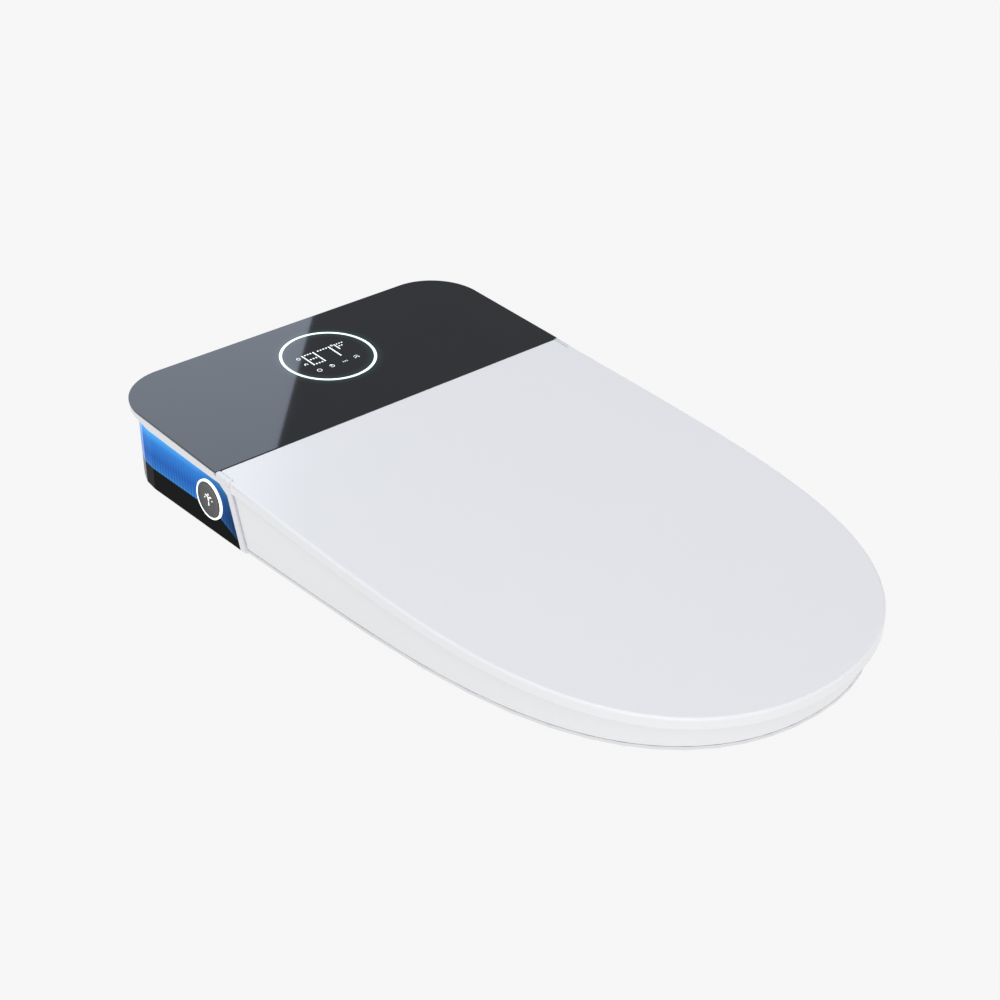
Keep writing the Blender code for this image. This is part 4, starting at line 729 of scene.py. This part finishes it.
# Digits and a unit as rows of dots: each has its left edge, its top and its pitch in mm.
EIGHT = ("11111", "10001", "10001", "10001", "11111", "10001", "10001", "10001", "11111")
SEVEN = ("11111", "00001", "00001", "00001", "00001", "00001", "00001", "00001", "00001")
UNIT = ("1111", "1000", "1110", "1000", "1000")
COLUMN_STRETCH, DOT_SHARE = 1.35, 0.40
led_dots = []
for glyph, left, top, pitch in ((EIGHT, -18.3, 74.5, 2.1), (SEVEN, -2.3, 74.2, 2.1),
                                (UNIT, 15.0, 74.5, 1.9)):
    for row, line in enumerate(glyph):
        for column, lit in enumerate(line):
            if lit == "1":
                led_dots.append(dot(left + column * pitch * COLUMN_STRETCH, top - row * pitch,
                                    pitch * DOT_SHARE))
led_dots += arc_band(12.4, 75.0, 0.9, 0.5, steps=10)
# Status marks, from left to right: a ring, a power sign, three waves and dots under an arc,
# then a small ring and an open one beside the digits.
marks = arc_band(-20.0, 47.5, 2.0, 0.55) + arc_band(-7.5, 47.2, 1.9, 0.55, 200, 520)
marks += [[(-7.8, 47.2), (-7.2, 47.2), (-7.2, 49.8), (-7.8, 49.8)]]
for k in range(3):
    marks += arc_band(5.0 + 1.9 * (k - 1), 47.0, 1.1, 0.45, -60, 60, steps=6)
    marks.append(dot(18.0 + 1.8 * (k - 1), 46.4 + 0.9 * (k % 2), 0.62))
marks += arc_band(18.0, 47.6, 2.2, 0.45, 20, 160, steps=10)
marks += arc_band(-23.4, 72.7, 1.5, 0.6) + arc_band(-23.5, 61.5, 1.3, 0.7, -50, 230)
lit_prisms("display_reading", led_dots, on_deck, DECK_LOW, DECK_HIGH,
           glow("display_white_led", "#F4FAFF", 0.95), "chassis")
lit_prisms("display_marks", marks, on_deck, DECK_LOW, DECK_HIGH,
           glow("display_dim_led", "#E4EDF0", 0.85), "chassis")


# ---- Housing -----------------------------------------------------------------------
# White ABS cover under the glass: a rim that shows all round below the deck, slanted
# frames in front of the side windows, and a plain rear wall with the service openings.
# A touch greyer and less mirror-like than the lid, so the two read as separate pieces.
gloss_abs = white_gloss("gloss_white_abs", "#E0E1E4", 0.19)
dress(gloss_abs, "upper_housing", "front_fascia", "front_nozzle_shield", "rear_nozzle_shield",
      "dryer_flap")


RIM_TUCK, RIM_WIDER_CORNER, RIM_BEHIND = 8.0 * MM, 7.2 * MM, 1.7 * MM


def rim_ring(inset, drop, share):
    """One ring of the rim: at share 0 it follows the glass, at share 1 the housing."""
    rear, corner = REAR_Y - RIM_TUCK * share - inset, GLASS_CORNER + RIM_WIDER_CORNER * share
    half = [(0.0, rear)]
    for step in range(CORNER_STEPS + 1):
        angle = math.pi / 2 * (1 - step / CORNER_STEPS)
        half.append((HALF - inset - corner + corner * math.cos(angle),
                     rear - corner + corner * math.sin(angle)))
    front = GLASS_FRONT_Y + RIM_BEHIND
    half += [(HALF - inset, front + 2.0 * MM), (HALF - inset, front), (0.0, front)]
    return whole([(x, y, top_z(y) - drop) for x, y in half])


rim_rows = [rim_ring(inset * MM, drop * MM, share) for inset, drop, share in (
    (0.6, 1.75, 0.0), (0.15, 1.8, 0.0), (0.05, 2.2, 0.0), (0.05, 5.6, 0.04), (0.05, 6.4, 0.16),
    (0.05, 9.0, 0.98))]
rim = loft("deck_rim", rim_rows, gloss_abs, "chassis")


NOSE_LOW, NOSE_TOP, NOSE_STEPS = 162.0, 140.1, 12
CAP_RADIUS, CAP_FACE = 0.9 * MM, 0.05 * MM


def cheek_ring(x, inset):
    """Outline of the cheek's cap at a place across: the round nose, then the flush top."""
    ring, radius = [], NOSE - inset
    for step in range(NOSE_STEPS + 1):
        angle = math.radians(NOSE_LOW - (NOSE_LOW - NOSE_TOP) * step / NOSE_STEPS)
        ring.append((x, hinge.y + radius * math.cos(angle), hinge.z + radius * math.sin(angle)))
    rear = GLASS_FRONT_Y - 0.1 * MM - inset
    for y in (-44.5 * MM, -38.0 * MM, rear - 0.5 * MM):
        ring.append((x, y, top_z(y) - inset))
    return ring + [(x, rear, top_z(rear) - inset - 0.4 * MM), (x, rear, hinge.z + 3.4 * MM)]


for side, tag in ((-1, "right"), (1, "left")):
    rings = [cheek_ring(side * (HALF - CHEEK + CAP_FACE), 0.0)]
    for step in range(5):
        angle = math.pi / 2 * step / 4
        rings.append(cheek_ring(side * (HALF - CAP_FACE - CAP_RADIUS * (1 - math.sin(angle))),
                                CAP_RADIUS * (1 - math.cos(angle))))
    cap = loft("cheek_cap_" + tag, rings, gloss_abs, "chassis")


# ---- Side windows and light panels -------------------------------------------------
# Clear PMMA panes, fluted and back-printed on their inner faces: the flutes carry the
# blue light of an LED strip behind them, and the print below them is a deep black.
FLUTE_PITCH, FLUTE_RELIEF = 4.0 * MM, 0.1 * MM
BAND_FRONT_Y, BAND_REAR_Y = -53.0 * MM, -26.0 * MM
BAND_FRONT_Z, BAND_REAR_Z = 10.0 * MM, 22.0 * MM
LIT_HEIGHT, LIT_EDGE = 34.0 * MM, 0.7 * MM
FADE_DARK_Y, FADE_FULL_Y = -60.0 * MM, -2.0 * MM


def fluted_pane(name, specular):
    """Blue light in upright flutes, fading to the front, above a black printed band."""
    made, tree, shader = new_material(name)
    place = add(tree, "ShaderNodeTexCoord").outputs["Object"]
    split = add(tree, "ShaderNodeSeparateXYZ", None, Vector=place)
    flute = add(tree, "ShaderNodeTexWave", {"Scale": math.pi * 2 / 20 / FLUTE_PITCH,
                                            "bands_direction": "Y"}, Vector=place).outputs["Fac"]
    line = add(tree, "ShaderNodeMapRange", {"From Min": BAND_FRONT_Y, "From Max": BAND_REAR_Y,
                                            "To Min": BAND_FRONT_Z, "To Max": BAND_REAR_Z},
               Value=split.outputs["Y"]).outputs["Result"]
    above = add(tree, "ShaderNodeMath", {"operation": "SUBTRACT"}, n0=split.outputs["Z"],
                n1=line).outputs[0]
    height = add(tree, "ShaderNodeMapRange", {"From Min": 0.0, "From Max": LIT_HEIGHT},
                 Value=above).outputs["Result"]
    shade = add(tree, "ShaderNodeValToRGB", None, Fac=height)
    ramp = shade.color_ramp
    ramp.elements[0].position, ramp.elements[0].color = 0.0, linear("#3F97EA")
    ramp.elements[1].position, ramp.elements[1].color = 1.0, linear("#52B4FF")
    for position, colour in ((0.10, "#2E7CD6"), (0.35, "#2469C4"), (0.75, "#3384DD")):
        ramp.elements.new(position).color = linear(colour)
    fade = add(tree, "ShaderNodeMapRange", {"From Min": FADE_DARK_Y, "From Max": FADE_FULL_Y,
                                            "To Min": 0.10, "To Max": 1.0},
               Value=split.outputs["Y"]).outputs["Result"]
    depth = add(tree, "ShaderNodeMapRange", {"From Min": 0.85, "From Max": 0.0, "To Min": 0.95,
                                             "To Max": 0.55}, Value=height).outputs["Result"]
    groove = add(tree, "ShaderNodeMapRange", None, Value=flute, To_Min=depth)
    power = add(tree, "ShaderNodeMath", {"operation": "MULTIPLY"}, n0=fade,
                n1=groove.outputs["Result"]).outputs[0]
    lit = add(tree, "ShaderNodeMapRange", {"From Min": 0.0, "From Max": LIT_EDGE},
              Value=above).outputs["Result"]
    final = add(tree, "ShaderNodeMath", {"operation": "MULTIPLY"}, n0=power, n1=lit).outputs[0]
    bump = add(tree, "ShaderNodeBump", {"Strength": 0.06, "Distance": FLUTE_RELIEF},
               Height=flute)
    tree.links.new(shade.outputs["Color"], shader.inputs["Emission Color"])
    tree.links.new(final, shader.inputs["Emission Strength"])
    tree.links.new(bump.outputs["Normal"], shader.inputs["Normal"])
    shader.inputs["Base Color"].default_value = linear("#030405")
    shader.inputs["Specular IOR Level"].default_value = specular
    shader.inputs["Roughness"].default_value = 0.12
    shader.inputs["IOR"].default_value = 1.49
    return made


# The panes barely mirror the tent, so the print stays black; the guides behind them do.
dress(fluted_pane("back_printed_clear_pmma", 0.015), "side_window_left", "side_window_right")
dress(fluted_pane("fluted_blue_light_guide", 0.3), "light_panel_left", "light_panel_right")


# ---- Knob --------------------------------------------------------------------------
# A turned black dial with a soft-touch face and a polished edge, inside a white light
# guide lit from behind. A small lit fountain on it marks the wash function.
knob_low, knob_high = [Vector(v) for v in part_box("knob_dial")]
knob_mid = (knob_low + knob_high) / 2
knob_r = (knob_high.z - knob_low.z) / 2
# Soft-touch black: a matt face under a thin coat that catches one soft highlight.
dial_black = moulded("soft_touch_black", "#1B1C1E", 0.42, grain_mm=0.25, depth=0.1, coat=0.3)
DIAL_SET_BACK, DIAL_SIDES = 2.0 * MM, 96
rings = []
face_x = knob_low.x + DIAL_SET_BACK
# Radius as a share of the dial's, and depth behind its face in mm: a shallow dish, then a
# raised and rounded edge, then the skirt.
for radius, depth in ((0.02, 0.35), (0.55, 0.33), (0.80, 0.28), (0.86, 0.12), (0.90, 0.02),
                      (0.95, 0.0), (0.985, 0.12), (1.0, 0.4), (1.0, 2.5)):
    ring = []
    for side in range(DIAL_SIDES):
        angle = 2 * math.pi * side / DIAL_SIDES
        ring.append((face_x + depth * MM, knob_mid.y + knob_r * radius * math.cos(angle),
                     knob_mid.z + knob_r * radius * math.sin(angle)))
    rings.append(ring)
rings.append([(knob_high.x, y, z) for x, y, z in rings[-1]])
dial = loft("knob_face_and_skirt", rings, dial_black, "knob")
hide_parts("knob_dial")
guide_low, guide_high = [Vector(v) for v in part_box("knob_light_ring")]
guide_r = (guide_high.z - guide_low.z) / 2
GUIDE_SUNK, GUIDE_GAP = 0.2 * MM, 0.15 * MM
# The light guide is the brightest white on the side.
light_guide = tube("knob_ring_light", (guide_high.x, knob_mid.y, knob_mid.z),
                   (face_x + GUIDE_SUNK, knob_mid.y, knob_mid.z), guide_r,
                   glow("white_light_guide", "#F2FAFF", 1.15), "chassis", sides=DIAL_SIDES,
                   inner=knob_r + GUIDE_GAP)
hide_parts("knob_light_ring")


def on_dial(along, up, depth):
    """A point behind the dial's face, from its place on the dial in mm."""
    return Vector((face_x + depth, knob_mid.y - along * MM, knob_mid.z + up * MM))


MARK_NEAR, MARK_FAR = 0.22 * MM, 0.6 * MM
fountain = [[(-0.7, -5.2), (0.7, -5.2), (0.5, -1.6), (-0.5, -1.6)]]
fountain += arc_band(-3.2, 0.2, 3.0, 1.1, -20, 110, steps=10)
fountain += arc_band(3.2, 0.2, 3.0, 1.1, 70, 200, steps=10)
fountain += [dot(0.0, 4.6, 0.9), dot(-4.9, 0.6, 0.7), dot(4.9, 0.6, 0.7)]
lit_prisms("knob_symbol", fountain, on_dial, MARK_NEAR, MARK_FAR,
           glow("printed_white_mark", "#F2F6FA", 0.75), "knob")
